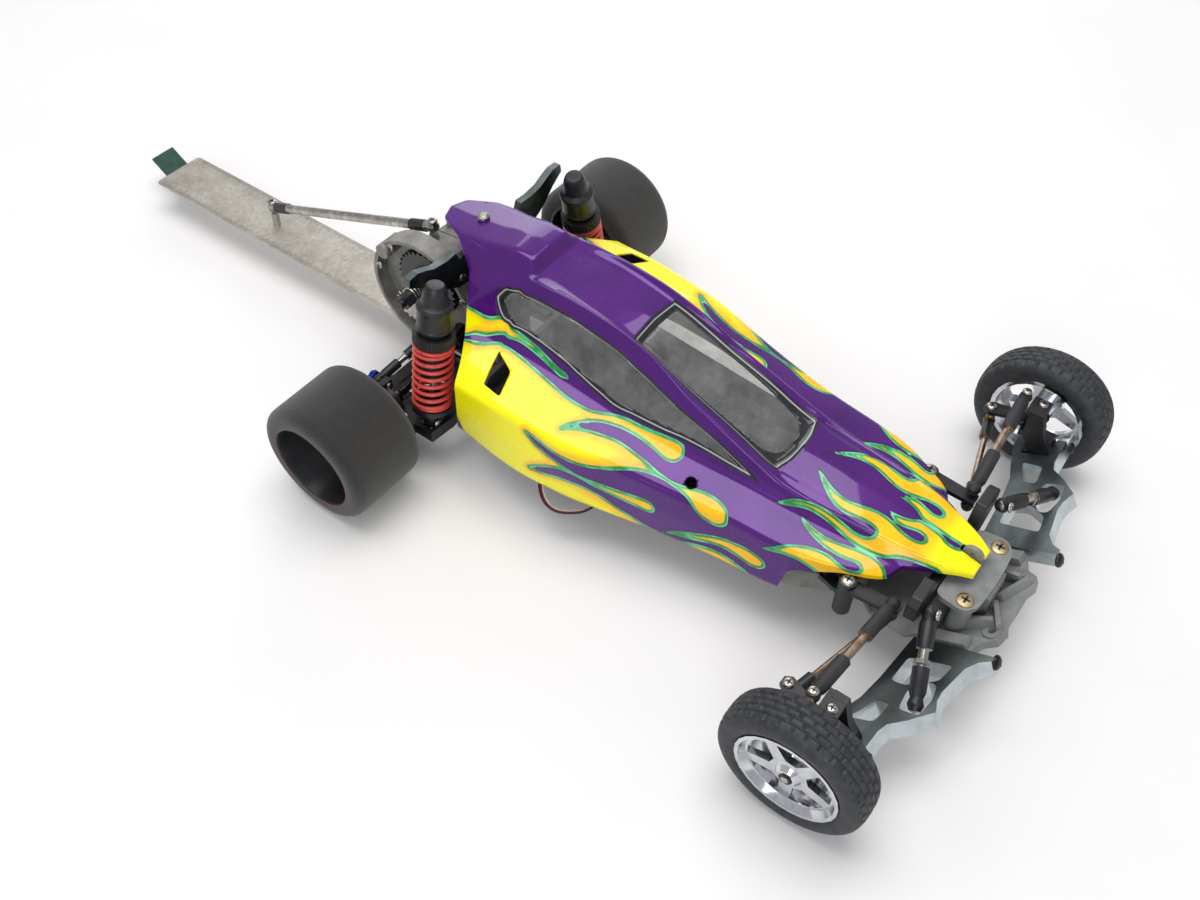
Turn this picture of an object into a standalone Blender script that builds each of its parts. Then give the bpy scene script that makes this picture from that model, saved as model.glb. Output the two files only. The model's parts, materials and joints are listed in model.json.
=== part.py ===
"""A 1/10-scale electric rc buggy set up for drag racing, as separate named pieces.

Every size below is in millimetres, in the car's own frame: x is across the car (+x is its left side),
y runs from the front axle (y = 0) to the tail, z is the height above the ground.  The nose points to -Y.
The finished pieces are in metres and hang on an empty that centres the car's length on the origin.
"""
import math

import bmesh
import bpy
from mathutils import Matrix, Vector

MM = 0.001
Y_CENTRE = 268.8          # half way between the front arms' front corners and the end of the green strip
TYRE_COUNT = 34           # facets round a tyre
GAP = 0.3                 # clearance between pieces that rest on each other

# driving dimensions
WHEELBASE = 286.0
FRONT_R = 36.3            # front tyre radius
FRONT_FACE_X = 139.9      # outer face of the front tyre
FRONT_TYRE_W = 22.0
REAR_R = 35.0             # rear foam tyre radius
REAR_FACE_X = 139.1
REAR_TYRE_W = 47.9
RIM_R = 25.5              # where both tyres sit on their rims
TUB_FLOOR_Z = 22.0        # ride height
RULER_Z = 21.4            # top of the steel ruler
BODY_WALL = 1.1

SIDES = (("right", -1), ("left", 1))

# front end
ARM_CORNER = (35.1, -46.6, 43.7)      # front inner corner of an arm's top face
ARM_RAKE, ARM_RISE = 26.0, 5.5        # degrees: nose-up kick, and the rise towards the wheel
ARM_THICK = 9.2
BASE_CORNER = (0.0, -46.6, 39.6)      # front edge of the bulkhead's raked plate, on its top face
BASE_RAKE = 28.0
KINGPIN_X, KINGPIN_Y = 109.5, -1.0
STEER_BALL = (104.0, 19.4, 36.0)
CRANK_BALL = (40.5, 2.8, 39.6)
CRANK_PIVOT = (42.0, 26.0)
LOCK_TOP = (38.7, -13.2, 53.4)
LOCK_FOOT = (75.0, -28.0, 37.6)
FRONT_CAMBER_IN = (42.5, 2.8, 50.5)
FRONT_CAMBER_OUT = (109.5, 7.2, 57.6)

# rear end
REAR_PIN_X, REAR_PIN_Z = 30.0, 30.0
HUB_PIN_X, HUB_PIN_Z = 82.5, 26.0
SHOCK_TOP = (57.0, 263.0, 109.6)
SHOCK_FOOT = (72.0, 263.0, 29.5)
REAR_CAMBER_IN = (40.0, 295.5, 46.0)
REAR_CAMBER_OUT = (75.5, 296.8, 42.5)
REAR_AXLE_Z = REAR_R
DIFF_Z = 38.0
TOWER_FRONT_Y, TOWER_BACK_Y = 276.0, 280.5

# drive
SPUR_YZ = (304.0, 71.5)
MODULE = 1.25
SPUR_TEETH, PINION_TEETH = 32, 15
MOTOR_YZ = (320.5, 47.1)
HOUSING_YZ, HOUSING_R = (308.5, 60.0), 36.4
MOTOR_R = 17.5

# wheelie bar
RULER_W, RULER_T = 36.4, 1.0
RULER_FRONT_Y, RULER_REAR_Y = 263.5, 562.3
STRIP_REAR_Y = 587.5
BAR_LINK_LOW = (0.0, 464.0, 35.0)
BAR_LINK_HIGH = (-7.0, 311.5, 96.8)


# ---------------------------------------------------------------- helpers

def clear_scene():
    for obj in list(bpy.data.objects):
        bpy.data.objects.remove(obj, do_unlink=True)


def material(name, rgb, roughness, metallic=0.0):
    mat = bpy.data.materials.new(name)
    mat.use_nodes = True
    shader = mat.node_tree.nodes["Principled BSDF"]
    shader.inputs["Base Color"].default_value = (*rgb, 1.0)
    shader.inputs["Roughness"].default_value = roughness
    shader.inputs["Metallic"].default_value = metallic
    mat.diffuse_color = (*rgb, 1.0)
    return mat


def add_object(name, bm, mat, smooth=True):
    """Turn a bmesh in millimetres into an object in metres, parented to the car's empty."""
    bmesh.ops.recalc_face_normals(bm, faces=bm.faces)
    bmesh.ops.scale(bm, vec=(MM, MM, MM), verts=bm.verts)
    mesh = bpy.data.meshes.new(name)
    bm.to_mesh(mesh)
    bm.free()
    if smooth:
        mesh.shade_smooth()
        mesh.set_sharp_from_angle(angle=math.radians(35))
    mesh.materials.append(mat)
    obj = bpy.data.objects.new(name, mesh)
    bpy.context.scene.collection.objects.link(obj)
    obj.parent = CAR
    return obj


def set_origin(obj, point):
    """Move an object's origin to a point of its joint axis without moving its shape."""
    shift = Vector(point) * MM
    obj.data.transform(Matrix.Translation(-shift))
    obj.location = shift


def to_axes(u, v, w, axis):
    """A point drawn in the plane across an axis, at the height w along it."""
    return {"Z": (u, v, w), "Y": (u, w, v), "X": (w, u, v)}[axis]


def prism_mesh(outline, low, high, axis="Z"):
    bm = bmesh.new()
    ends = []
    for w in (low, high):
        ends.append([bm.verts.new(to_axes(u, v, w, axis)) for u, v in outline])
    bm.faces.new(ends[0])
    bm.faces.new(list(reversed(ends[1])))
    for i in range(len(outline)):
        j = (i + 1) % len(outline)
        bm.faces.new((ends[0][i], ends[0][j], ends[1][j], ends[1][i]))
    return bm


def prism(name, outline, low, high, mat, axis="Z"):
    return add_object(name, prism_mesh(outline, low, high, axis), mat)


def box_outline(u0, v0, u1, v1):
    return [(u0, v0), (u1, v0), (u1, v1), (u0, v1)]


def circle(cu, cv, radius, count, start=0.0):
    step = 2.0 * math.pi / count
    return [(cu + radius * math.cos(start + i * step), cv + radius * math.sin(start + i * step))
            for i in range(count)]


def both_sides(half):
    """Close a half outline, given from the middle out and back to it, with its mirror image."""
    mirrored = [(-u, v) for u, v in reversed(half) if abs(u) > 1e-6]
    return list(half) + mirrored


def mirror_x(outline, side):
    return [(side * u, v) for u, v in outline]


def fillet(outline, radius, steps=3):
    """Round the corners of an outline with short arcs."""
    rounded = []
    count = len(outline)
    for i in range(count):
        corner = Vector(outline[i])
        before = (Vector(outline[i - 1]) - corner)
        after = (Vector(outline[(i + 1) % count]) - corner)
        reach = min(radius, before.length * 0.45, after.length * 0.45)
        start = corner + before.normalized() * reach
        end = corner + after.normalized() * reach
        for k in range(steps + 1):
            t = k / steps
            point = start * (1 - t) ** 2 + corner * 2 * t * (1 - t) + end * t ** 2
            rounded.append((point.x, point.y))
    return rounded


def turned_mesh(profile, origin, direction, count, closed=False):
    """Spin a profile of (distance along the axis, radius) round an axis.

    An open profile starts and ends on the axis, a closed one is a ring's section.
    """
    direction = Vector(direction).normalized()
    helper = Vector((0, 0, -1)) if abs(direction.z) < 0.9 else Vector((1, 0, 0))
    across = (helper - direction * helper.dot(direction)).normalized()
    third = direction.cross(across)
    bm = bmesh.new()
    rings = []
    for along, radius in profile:
        centre = Vector(origin) + direction * along
        if radius < 1e-6:
            rings.append([bm.verts.new(centre)])
            continue
        ring = []
        for i in range(count):
            angle = 2.0 * math.pi * i / count
            ring.append(bm.verts.new(centre + (across * math.cos(angle) + third * math.sin(angle)) * radius))
        rings.append(ring)
    pairs = list(zip(rings, rings[1:]))
    if closed:
        pairs.append((rings[-1], rings[0]))
    for first, second in pairs:
        for i in range(count):
            j = (i + 1) % count
            if len(first) == 1:
                bm.faces.new((first[0], second[i], second[j]))
            elif len(second) == 1:
                bm.faces.new((first[i], first[j], second[0]))
            else:
                bm.faces.new((first[i], first[j], second[j], second[i]))
    return bm


def turned(name, profile, origin, direction, count, mat, closed=False):
    return add_object(name, turned_mesh(profile, origin, direction, count, closed), mat)


def rod(name, start, end, radius, mat, count=12):
    axis = Vector(end) - Vector(start)
    profile = [(0, 0), (0, radius), (axis.length, radius), (axis.length, 0)]
    return turned(name, profile, start, axis, count, mat)


def apply_boolean(obj, tool, operation):
    """Use one guide on an object; the guide stays hidden from the finished model."""
    tool.hide_render = True
    tool.display_type = "WIRE"
    cut = obj.modifiers.new(operation.lower(), "BOOLEAN")
    cut.operation = operation
    cut.object = tool
    cut.solver = "EXACT"


def join(obj, *tools):
    for tool in tools:
        apply_boolean(obj, tool, "UNION")
    return obj


def cut(obj, *tools):
    for tool in tools:
        apply_boolean(obj, tool, "DIFFERENCE")
    return obj


def sleeve_link_profile(length, rod_r, sleeve_r, end_r, sleeve):
    """A turnbuckle: a ball end, a long plastic sleeve, the bare rod, and the same again."""
    return [
        (-end_r, 0), (-end_r * 0.75, end_r * 0.7), (0, end_r), (end_r * 0.8, end_r * 0.75),
        (end_r * 1.5, sleeve_r), (sleeve, sleeve_r), (sleeve, rod_r),
        (length - sleeve, rod_r), (length - sleeve, sleeve_r), (length - end_r * 1.5, sleeve_r),
        (length - end_r * 0.8, end_r * 0.75), (length, end_r), (length + end_r * 0.75, end_r * 0.7),
        (length + end_r, 0)]


def turnbuckle(name, start, end, mat, rod_r=1.8, sleeve_r=3.3, end_r=3.8, sleeve=20.0, count=12):
    axis = Vector(end) - Vector(start)
    profile = sleeve_link_profile(axis.length, rod_r, sleeve_r, end_r, sleeve)
    return turned(name, profile, start, axis, count, mat)


def at_side(point, side):
    return (side * point[0], point[1], point[2])


def raked_frame(name, corner, rake, rise, side):
    """An empty whose x and y lie in a plane that is nose-up by rake and rises outwards by rise degrees."""
    back = Vector((0, math.cos(math.radians(rake)), -math.sin(math.radians(rake))))
    across = Vector((math.cos(math.radians(rise)), 0, side * math.sin(math.radians(rise))))
    across = (across - back * across.dot(back)).normalized()
    up = across.cross(back)
    frame = bpy.data.objects.new(name, None)
    bpy.context.scene.collection.objects.link(frame)
    frame.parent = CAR
    turn = Matrix((across, back, up)).transposed().to_4x4()
    frame.matrix_local = Matrix.Translation(Vector(at_side(corner, side)) * MM) @ turn
    return frame


def set_on(frame, *objs):
    for obj in objs:
        obj.parent = frame


# ---------------------------------------------------------------- chassis and electrics

def make_tub():
    rim = [(0, 22), (27, 22), (44, 54), (51, 122), (58, 200), (54, 248), (34, 259), (0, 259)]
    well = [(0, 28), (23, 28), (40, 56), (47.5, 123), (54.5, 200), (51, 245), (33, 255), (0, 255)]
    tub = prism("chassis_tub", fillet(both_sides(rim), 4), TUB_FLOOR_Z, 35.0, GREY)
    pocket = prism("tub_pocket", fillet(both_sides(well), 3), TUB_FLOOR_Z + 2.4, 40.0, GREY)
    cut(tub, pocket)


def make_battery():
    body = prism("battery_pack", fillet(box_outline(-23, 98, 23, 232), 6), 25.0, 47.0, SLEEVE_BLUE)
    edge = body.modifiers.new("edge", "BEVEL")
    edge.width = 2.5 * MM
    edge.segments = 2
    strap = prism("battery_strap", box_outline(-33, 24.8, 33, 50.4), 156, 168, BLACK, axis="Y")
    under = prism("strap_space", box_outline(-23.6, 20.0, 23.6, 47.6), 150, 180, BLACK, axis="Y")
    cut(strap, under)


def make_electrics():
    esc = prism("speed_controller", fillet(box_outline(29, 188, 49, 226), 3), 25.0, 41.0, BLACK)
    fins = [prism("fin_slot", box_outline(31.0 + 3.4 * i, 190, 32.4 + 3.4 * i, 224), 36.0, 45.0, BLACK)
            for i in range(5)]
    cut(esc, *fins)
    prism("receiver_box", fillet(box_outline(-45.5, 174, -30, 200), 3), 25.0, 40.0, BLACK)
    servo = prism("steering_servo", fillet(box_outline(-10, 56, 10, 92), 2), 25.0, 50.0, BLACK)
    lugs = prism("servo_lugs", box_outline(-13, 62, 13, 86), 30.0, 33.0, BLACK)
    join(servo, lugs)


def make_servo_lead():
    """The free loop of servo lead that hangs out under the body's right edge."""
    route = [(-46.3, 190, 36.5), (-52, 192, 37.6), (-58, 193, 37.8), (-62.5, 193, 34.5), (-66, 191.5, 29),
             (-70, 188.5, 24.5), (-73, 184.5, 21.5), (-74.6, 179.5, 20), (-74.2, 174, 19.6),
             (-71.8, 168, 20.6), (-68.5, 162, 23), (-65, 157.5, 27.5), (-61.5, 155, 33.5),
             (-57, 154.2, 37.6), (-52, 155, 37.9), (-46.3, 157, 36.5)]
    points = smooth_route(route, 2)
    curve = bpy.data.curves.new("servo_lead", "CURVE")
    curve.dimensions = "3D"
    curve.bevel_depth = 1.5 * MM
    curve.bevel_resolution = 2
    curve.use_fill_caps = True
    spline = curve.splines.new("POLY")
    spline.points.add(len(points) - 1)
    for slot, point in zip(spline.points, points):
        slot.co = (*(Vector(point) * MM), 1.0)
    curve.materials.append(BLACK)
    obj = bpy.data.objects.new("servo_lead", curve)
    bpy.context.scene.collection.objects.link(obj)
    obj.parent = CAR


def smooth_route(route, steps):
    """Points along a Catmull-Rom curve through a route."""
    points = []
    for i in range(len(route) - 1):
        knots = [Vector(route[max(i - 1, 0)]), Vector(route[i]),
                 Vector(route[i + 1]), Vector(route[min(i + 2, len(route) - 1)])]
        for k in range(steps):
            points.append(tuple(catmull(knots, k / steps)))
    points.append(route[-1])
    return points


def catmull(knots, t):
    a, b, c, d = knots
    return 0.5 * (b * 2 + (c - a) * t + (a * 2 - b * 5 + c * 4 - d) * t ** 2
                  + (b * 3 - a - c * 3 + d) * t ** 3)


# ---------------------------------------------------------------- front end

def make_bulkhead():
    """Raked base plate with posts, ribs and hinge blocks, and the flat nose plate behind it."""
    frame = raked_frame("bulkhead_rake", BASE_CORNER, BASE_RAKE, 0.0, 1)
    outline = [(0, 5.0), (10, 5.3), (15.5, 3.0), (22.4, 4.6), (25.6, 10.5), (33.2, 14), (33.2, 34), (26, 37),
               (0, 37)]
    plate = prism("front_bulkhead", both_sides(outline), -4.2, 0.0, GREY)
    set_on(frame, plate)
    tools = [prism("nose_plate", both_sides([(0, -16), (33.0, -16), (33.0, -9.4), (36.4, -5.5), (35.0, 13.5),
                                             (29, 21.6), (0, 21.6)]), 22.2, 25.4, GREY)]
    core = [(-32, 31), (-17, 24), (-9.4, 24), (-9.4, 44.5), (-31, 44.5)]
    tools.append(prism("bulkhead_core", core, -9.5, 9.5, GREY, axis="X"))
    for name, side in SIDES:
        post = rod("plate_post_" + name, (side * 18.8, -22.5, 24.0), (side * 18.8, -22.5, 44.5), 5.0, GREY, 14)
        boss = rod("bumper_boss_" + name, (side * 18.3, 8.6, -1.0), (side * 18.3, 8.6, 1.2), 4.4, GREY, 14)
        web = prism("bulkhead_web_" + name, mirror_x([(14, 9), (16.2, 8), (20.4, 24), (17.6, 24)], side),
                    -1.0, 6.5, GREY)
        brace = prism("bulkhead_brace_" + name, mirror_x([(2, 14.5), (2, 12.2), (15.4, 4.6), (17.6, 6.2)],
                                                         side), -1.0, 4.6, GREY)
        block = prism("hinge_block_" + name, mirror_x(box_outline(27.0, 14.5, 33.2, 36.0), side), -1.0, 4.6,
                      GREY)
        set_on(frame, boss, web, brace, block)
        tools += [post, boss, web, brace, block]
    join(plate, *tools)
    for name, side in SIDES:
        hole = rod("bumper_hole_" + name, (side * 18.3, 8.6, -10), (side * 18.3, 8.6, 10), 1.9, GREY, 10)
        set_on(frame, hole)
        cut(plate, hole)


def make_top_plate():
    half = [(0, -30.2), (9, -29.8), (19.5, -29.0), (25.2, -24), (23.4, -9.4), (0, -9.4)]
    plate = prism("front_top_plate", fillet(both_sides(half), 3.5), 44.8, 47.9, GREY)
    centre_y, radius, foot = -15.1, 5.2, 56.6
    arc = [(centre_y + radius * math.cos(math.pi * i / 10), foot + radius * math.sin(math.pi * i / 10))
           for i in range(11)]
    tab_outline = [(centre_y - radius, 47.0), (centre_y + radius, 47.0)] + arc
    tab = prism("nose_tab", tab_outline, -1.3, 1.3, GREY, axis="X")
    join(plate, tab)
    cut(plate, rod("tab_hole", (-5, centre_y, 58.4), (5, centre_y, 58.4), 1.3, GREY, 10))


def make_front_tower():
    half = [(0, 36.2), (26, 36.2), (34, 42), (44.4, 48), (44.4, 57), (40, 60), (27, 60), (24.6, 57),
            (21, 49), (0, 49)]
    prism("front_shock_tower", both_sides(half), -9.0, -3.2, BLACK, axis="Y")


def make_front_arm(name, side):
    """Thick plate arm in its own raked plane, with its pockets and a fork round the caster block."""
    frame = raked_frame("arm_rake_" + name, ARM_CORNER, ARM_RAKE, ARM_RISE, side)
    outline = [(0.3, 0.8), (3.6, 0.8), (6.2, 5.6), (12, 9.4), (29.1, 12.0), (34.5, 11.4), (41.4, 8.6),
               (46.5, 13.8), (50.2, 17.2), (56, 24.6), (61, 26.2), (77.6, 26.2), (77.6, 31.2), (65.4, 31.2),
               (65.4, 46.6), (77.6, 46.6), (77.6, 52.4), (70.5, 52.4), (55, 47.6), (45.6, 44), (30.2, 42.2),
               (0.3, 41.0)]
    arm = prism("front_arm_" + name, mirror_x(outline, side), -ARM_THICK, 0.0, GUNMETAL)
    inner = [(14.0, 36.4), (12.3, 15.0), (23.2, 16.6), (31.1, 29.2), (30.4, 36.8)]
    outer = [(44.6, 36.6), (44.4, 29.5), (56.6, 30.8), (58.2, 42.2)]
    slot = [(26.0, 15.9), (35.0, 13.6), (45.8, 14.6), (45.6, 24.7), (33.6, 26.6), (25.2, 20.4)]
    pockets = []
    for label, pocket in (("inner", inner), ("outer", outer), ("link", slot)):
        pockets.append(prism("arm_pocket_" + label + "_" + name, mirror_x(fillet(pocket, 2.0, 2), side),
                             -15, 5, GUNMETAL))
    set_on(frame, arm, *pockets)
    cut(arm, *pockets)


def make_front_links(name, side):
    turnbuckle("front_lock_link_" + name, at_side(LOCK_TOP, side), at_side(LOCK_FOOT, side), BLACK,
               rod_r=2.4, sleeve_r=3.9, end_r=3.9, sleeve=17.0)
    turnbuckle("front_camber_link_" + name, at_side(FRONT_CAMBER_IN, side), at_side(FRONT_CAMBER_OUT, side),
               BLACK, rod_r=2.2, sleeve_r=3.6, end_r=3.6, sleeve=25.0)


def make_caster_block(name, side):
    """C-shaped hub that the steering knuckle turns in, hung between the arm's outer ears."""
    frame = raked_frame("caster_rake_" + name, ARM_CORNER, ARM_RAKE, ARM_RISE, side)
    block = prism("front_caster_block_" + name, mirror_x(box_outline(66.0, 31.8, 77.6, 46.0), side), -8.6,
                  0.6, BLACK)
    set_on(frame, block)
    side_view = [(-16.0, 31.0), (-6.2, 26.6), (-4.6, 33.0), (0.8, 40.0), (0.8, 57.6), (-6.5, 57.6),
                 (-10.0, 44.0), (-16.0, 36.0)]
    spine = prism("caster_spine_" + name, side_view, side * 100.9, side * 105.0, BLACK, axis="X")
    shelf = prism("caster_shelf_" + name, mirror_x(box_outline(101.2, 38.6, 112.4, 42.6), side), -8.0, 3.0,
                  BLACK, axis="Y")
    drop = prism("caster_drop_" + name, mirror_x(box_outline(103.0, 28.0, 112.0, 40.0), side), -14.0, -7.4,
                 BLACK, axis="Y")
    top = prism("caster_top_" + name, mirror_x(box_outline(101.2, 53.6, 113.6, 57.4), side), -6.5, 3.0,
                BLACK, axis="Y")
    join(block, spine, shelf, drop, top)


def make_knuckle(name, side):
    """Steering knuckle: kingpin barrel, wheel spindle and the arm that the steering link pulls."""
    x, y = KINGPIN_X, KINGPIN_Y
    body = rod("front_knuckle_" + name, (side * x, y, 43.0), (side * x, y, 53.2), 4.1, BLACK, 16)
    lug = prism("knuckle_lug_" + name, mirror_x(box_outline(x, y - 3.6, 116.2, y + 4.6), side), 43.4, 52.0,
                BLACK)
    drop = prism("knuckle_drop_" + name, mirror_x(box_outline(114.2, y - 3.6, 116.9, y + 4.6), side), 31.6,
                 51.0, BLACK)
    spindle = rod("spindle_" + name, (side * 116.0, 0, FRONT_R), (side * 139.6, 0, FRONT_R), 2.2, STEEL, 14)
    reach = prism("knuckle_arm_" + name, mirror_x([(x - 2.2, y + 1), (x + 3, y + 1), (108.2, 21), (106, 24),
                                                   (101.8, 24), (99.8, 20.6)], side), 43.4, 46.0, BLACK)
    join(body, lug, drop, spindle, reach)
    set_origin(body, (side * x, y, 43))


def make_crank(name, side):
    """Bell crank: an arm forward to the steering link's ball and a horn back to the drag link."""
    x, y = CRANK_PIVOT
    crank = rod("steering_crank_" + name, (side * x, y, 25.9), (side * x, y, 48.6), 4.4, BLACK, 16)
    arm = prism("crank_arm_" + name, mirror_x([(x - 4, y), (x + 4, y), (x + 1.8, -0.6), (x - 4.8, -0.6)],
                                                   side), 43.4, 46.2, BLACK)
    horn = prism("crank_horn_" + name, mirror_x([(x - 4, y), (x + 3, y), (x - 1, y + 15), (x - 7, y + 15)],
                                                side), 36.5, 39.6, BLACK)
    join(crank, arm, horn)
    set_origin(crank, (side * x, y, 40))


def make_steering_link(name, side):
    inner, outer = Vector(at_side(CRANK_BALL, side)), Vector(at_side(STEER_BALL, side))
    link = turnbuckle("steering_link_" + name, inner, outer, STEEL, rod_r=1.6, sleeve_r=2.9, end_r=3.4,
                      sleeve=15.0)
    set_origin(link, inner)


def make_drag_link():
    prism("steering_drag_link", fillet(box_outline(-40, 36.5, 40, 41.0), 2), 39.9, 43.0, BLACK)


# ---------------------------------------------------------------- wheels

def tyre(name, inner_x, width, section, side, mat, axle_y, axle_z):
    profile = [(inner_x + width * along, radius) for along, radius in section]
    obj = turned(name, profile, (0, axle_y, axle_z), (side, 0, 0), TYRE_COUNT, mat, closed=True)
    set_origin(obj, (side * (inner_x + width / 2), axle_y, axle_z))


def make_front_wheel(name, side):
    inner_x = FRONT_FACE_X - FRONT_TYRE_W
    section = [(0.06, RIM_R + GAP), (0.0, 30.0), (0.08, 34.2), (0.26, FRONT_R), (0.74, FRONT_R),
               (0.92, 34.2), (1.0, 30.0), (0.94, RIM_R + GAP)]
    tyre("front_tyre_" + name, inner_x, FRONT_TYRE_W, section, side, RUBBER, 0, FRONT_R)
    face = FRONT_FACE_X
    profile = [(face - 20.6, RIM_R), (face - 20.6, RIM_R - 2.4), (face - 7.0, RIM_R - 2.8),
               (face - 7.0, 6.4), (face - 16.5, 6.4), (face - 16.5, 2.5), (face - 1.2, 2.5),
               (face - 1.2, 4.6), (face - 3.4, 6.4), (face - 4.0, RIM_R - 3.6), (face - 0.6, RIM_R - 1.8),
               (face - 0.6, RIM_R)]
    wheel = turned("front_wheel_" + name, profile, (0, 0, FRONT_R), (side, 0, 0), 26, CHROME, closed=True)
    for i in range(5):
        outline = spoke_window(2 * math.pi * i / 5 + math.pi / 2)
        raised = [(u, FRONT_R + v) for u, v in outline]
        cut(wheel, prism(f"spoke_window_{name}_{i}", raised, side * (face - 12), side * (face + 8), CHROME,
                         axis="X"))
    set_origin(wheel, (side * (inner_x + FRONT_TYRE_W / 2), 0, FRONT_R))


def spoke_window(angle):
    """Outline of one opening between two spokes, wider at the rim than at the hub."""
    low_r, low_spread = 9.5, 0.27
    high_r, high_spread = 20.6, 0.50
    outline = [(low_r * math.cos(angle - low_spread), low_r * math.sin(angle - low_spread))]
    for k in range(5):
        turn = angle - high_spread + 2 * high_spread * k / 4
        outline.append((high_r * math.cos(turn), high_r * math.sin(turn)))
    outline.append((low_r * math.cos(angle + low_spread), low_r * math.sin(angle + low_spread)))
    return outline


def make_rear_wheel(name, side):
    inner_x = REAR_FACE_X - REAR_TYRE_W
    section = [(0.0, RIM_R + GAP), (0.0, 30.0), (0.04, 33.4), (0.13, REAR_R), (0.87, REAR_R),
               (0.96, 33.4), (1.0, 30.0), (1.0, RIM_R + GAP)]
    tyre("rear_tyre_" + name, inner_x, REAR_TYRE_W, section, side, FOAM, WHEELBASE, REAR_R)
    profile = [(inner_x + 0.6, RIM_R), (inner_x + 0.6, RIM_R - 2.0), (inner_x + 18, RIM_R - 2.2),
               (inner_x + 18, 7.0), (inner_x + 14, 7.0), (inner_x + 14, 2.8), (inner_x + 24, 2.8),
               (inner_x + 24, 7.0), (inner_x + 21, 9.0), (inner_x + 21, RIM_R - 3.0),
               (inner_x + 47.3, RIM_R - 1.8), (inner_x + 47.3, RIM_R)]
    wheel = turned("rear_wheel_" + name, profile, (0, WHEELBASE, REAR_R), (side, 0, 0), 26, BLACK,
                   closed=True)
    set_origin(wheel, (side * (inner_x + REAR_TYRE_W / 2), WHEELBASE, REAR_R))


# ---------------------------------------------------------------- rear end

def make_gearbox():
    """Two case halves round the differential, and the round housing that carries gear and motor."""
    case = [(266, 23), (300, 23), (301.5, 30), (301.5, 64), (306, 66), (316, 66), (316, 88), (300, 90),
            (281, 90), (281, 68), (266, 62)]
    for label, low, high in (("right", -13.2, -0.15), ("left", 0.15, 17.0)):
        half = prism("gearbox_half_" + label, case, low, high, GREY, axis="X")
        sign = -1 if label == "right" else 1
        bore = rod("outdrive_bore_" + label, (sign * 6.0, WHEELBASE, DIFF_Z), (sign * 30, WHEELBASE, DIFF_Z),
                   8.0, GREY, 20)
        cut(half, bore)
        foot = (sign * 7.0, *BAR_LINK_HIGH[1:])
        join(half, rod("link_post_" + label, (foot[0], foot[1], 86.0), (foot[0], foot[1], foot[2] - 4.4), 2.8,
                       GREY, 12))
    disc = [(u, max(v, TUB_FLOOR_Z + 0.8)) for u, v in circle(*HOUSING_YZ, HOUSING_R, 36)]
    housing = prism("gear_housing", disc, -25.5, -13.5, GREY, axis="X")
    inner_disc = [(u, max(v, TUB_FLOOR_Z + 3.2)) for u, v in circle(*HOUSING_YZ, HOUSING_R - 2.4, 36)]
    dish = prism("housing_dish", inner_disc, -40.0, -17.0, GREY, axis="X")
    shaft_hole = rod("spur_shaft_hole", (-30, *SPUR_YZ), (-5, *SPUR_YZ), 3.6, GREY, 14)
    motor_hole = rod("motor_boss_hole", (-30, *MOTOR_YZ), (-5, *MOTOR_YZ), 6.0, GREY, 18)
    mouth = rod("outdrive_mouth", (-40, WHEELBASE, DIFF_Z), (-5, WHEELBASE, DIFF_Z), 8.2, GREY, 20)
    cut(housing, dish, shaft_hole, motor_hole, mouth)
    join(housing, rod("rear_boss", (-28.0, 333.0, 82.0), (-13.6, 333.0, 82.0), 4.4, GREY, 14))


def make_motor():
    profile = [(0, 0), (0, 5.6), (3.4, 5.6), (3.4, MOTOR_R), (52, MOTOR_R), (54, MOTOR_R - 2),
               (54, 6), (57, 6), (57, 0)]
    turned("drive_motor", profile, (-16.4, *MOTOR_YZ), (1, 0, 0), 24, STEEL)


def gear_outline(teeth, centre, first):
    """Trapezoid teeth, thin enough to leave backlash all round; one points at the angle first."""
    pitch_r = MODULE * teeth / 2
    root_r, tip_r = pitch_r - 1.05, pitch_r + 0.62
    step = 2 * math.pi / teeth
    outline = []
    for i in range(teeth):
        for radius, turn in ((root_r, -0.30), (tip_r, -0.13), (tip_r, 0.13), (root_r, 0.30)):
            angle = first + (i + turn) * step
            outline.append((centre[0] + radius * math.cos(angle), centre[1] + radius * math.sin(angle)))
    return outline


def make_gears():
    mesh_angle = math.atan2(MOTOR_YZ[1] - SPUR_YZ[1], MOTOR_YZ[0] - SPUR_YZ[0])
    spur = prism("spur_gear", gear_outline(SPUR_TEETH, SPUR_YZ, mesh_angle), -24.4, -20.4, BLACK, axis="X")
    shaft = rod("spur_shaft", (-46.5, *SPUR_YZ), (-13.8, *SPUR_YZ), 2.4, STEEL, 14)
    plate = rod("slipper_plate", (-27.2, *SPUR_YZ), (-24.0, *SPUR_YZ), 10.5, BLACK, 24)
    spring = rod("slipper_spring", (-38.0, *SPUR_YZ), (-27.0, *SPUR_YZ), 4.4, STEEL, 14)
    nut = prism("slipper_nut", circle(*SPUR_YZ, 4.6, 6), -43.5, -37.8, STEEL, axis="X")
    join(spur, plate, shaft, spring, nut)
    set_origin(spur, (-22.4, *SPUR_YZ))
    gap_angle = mesh_angle + math.pi * (1 + 1 / PINION_TEETH)
    pinion = prism("pinion_gear", gear_outline(PINION_TEETH, MOTOR_YZ, gap_angle), -24.4, -20.4, STEEL, axis="X")
    collar = rod("pinion_collar", (-24.5, *MOTOR_YZ), (-17.4, *MOTOR_YZ), 4.4, STEEL, 16)
    join(pinion, collar)
    set_origin(pinion, (-22.4, *MOTOR_YZ))


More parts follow.
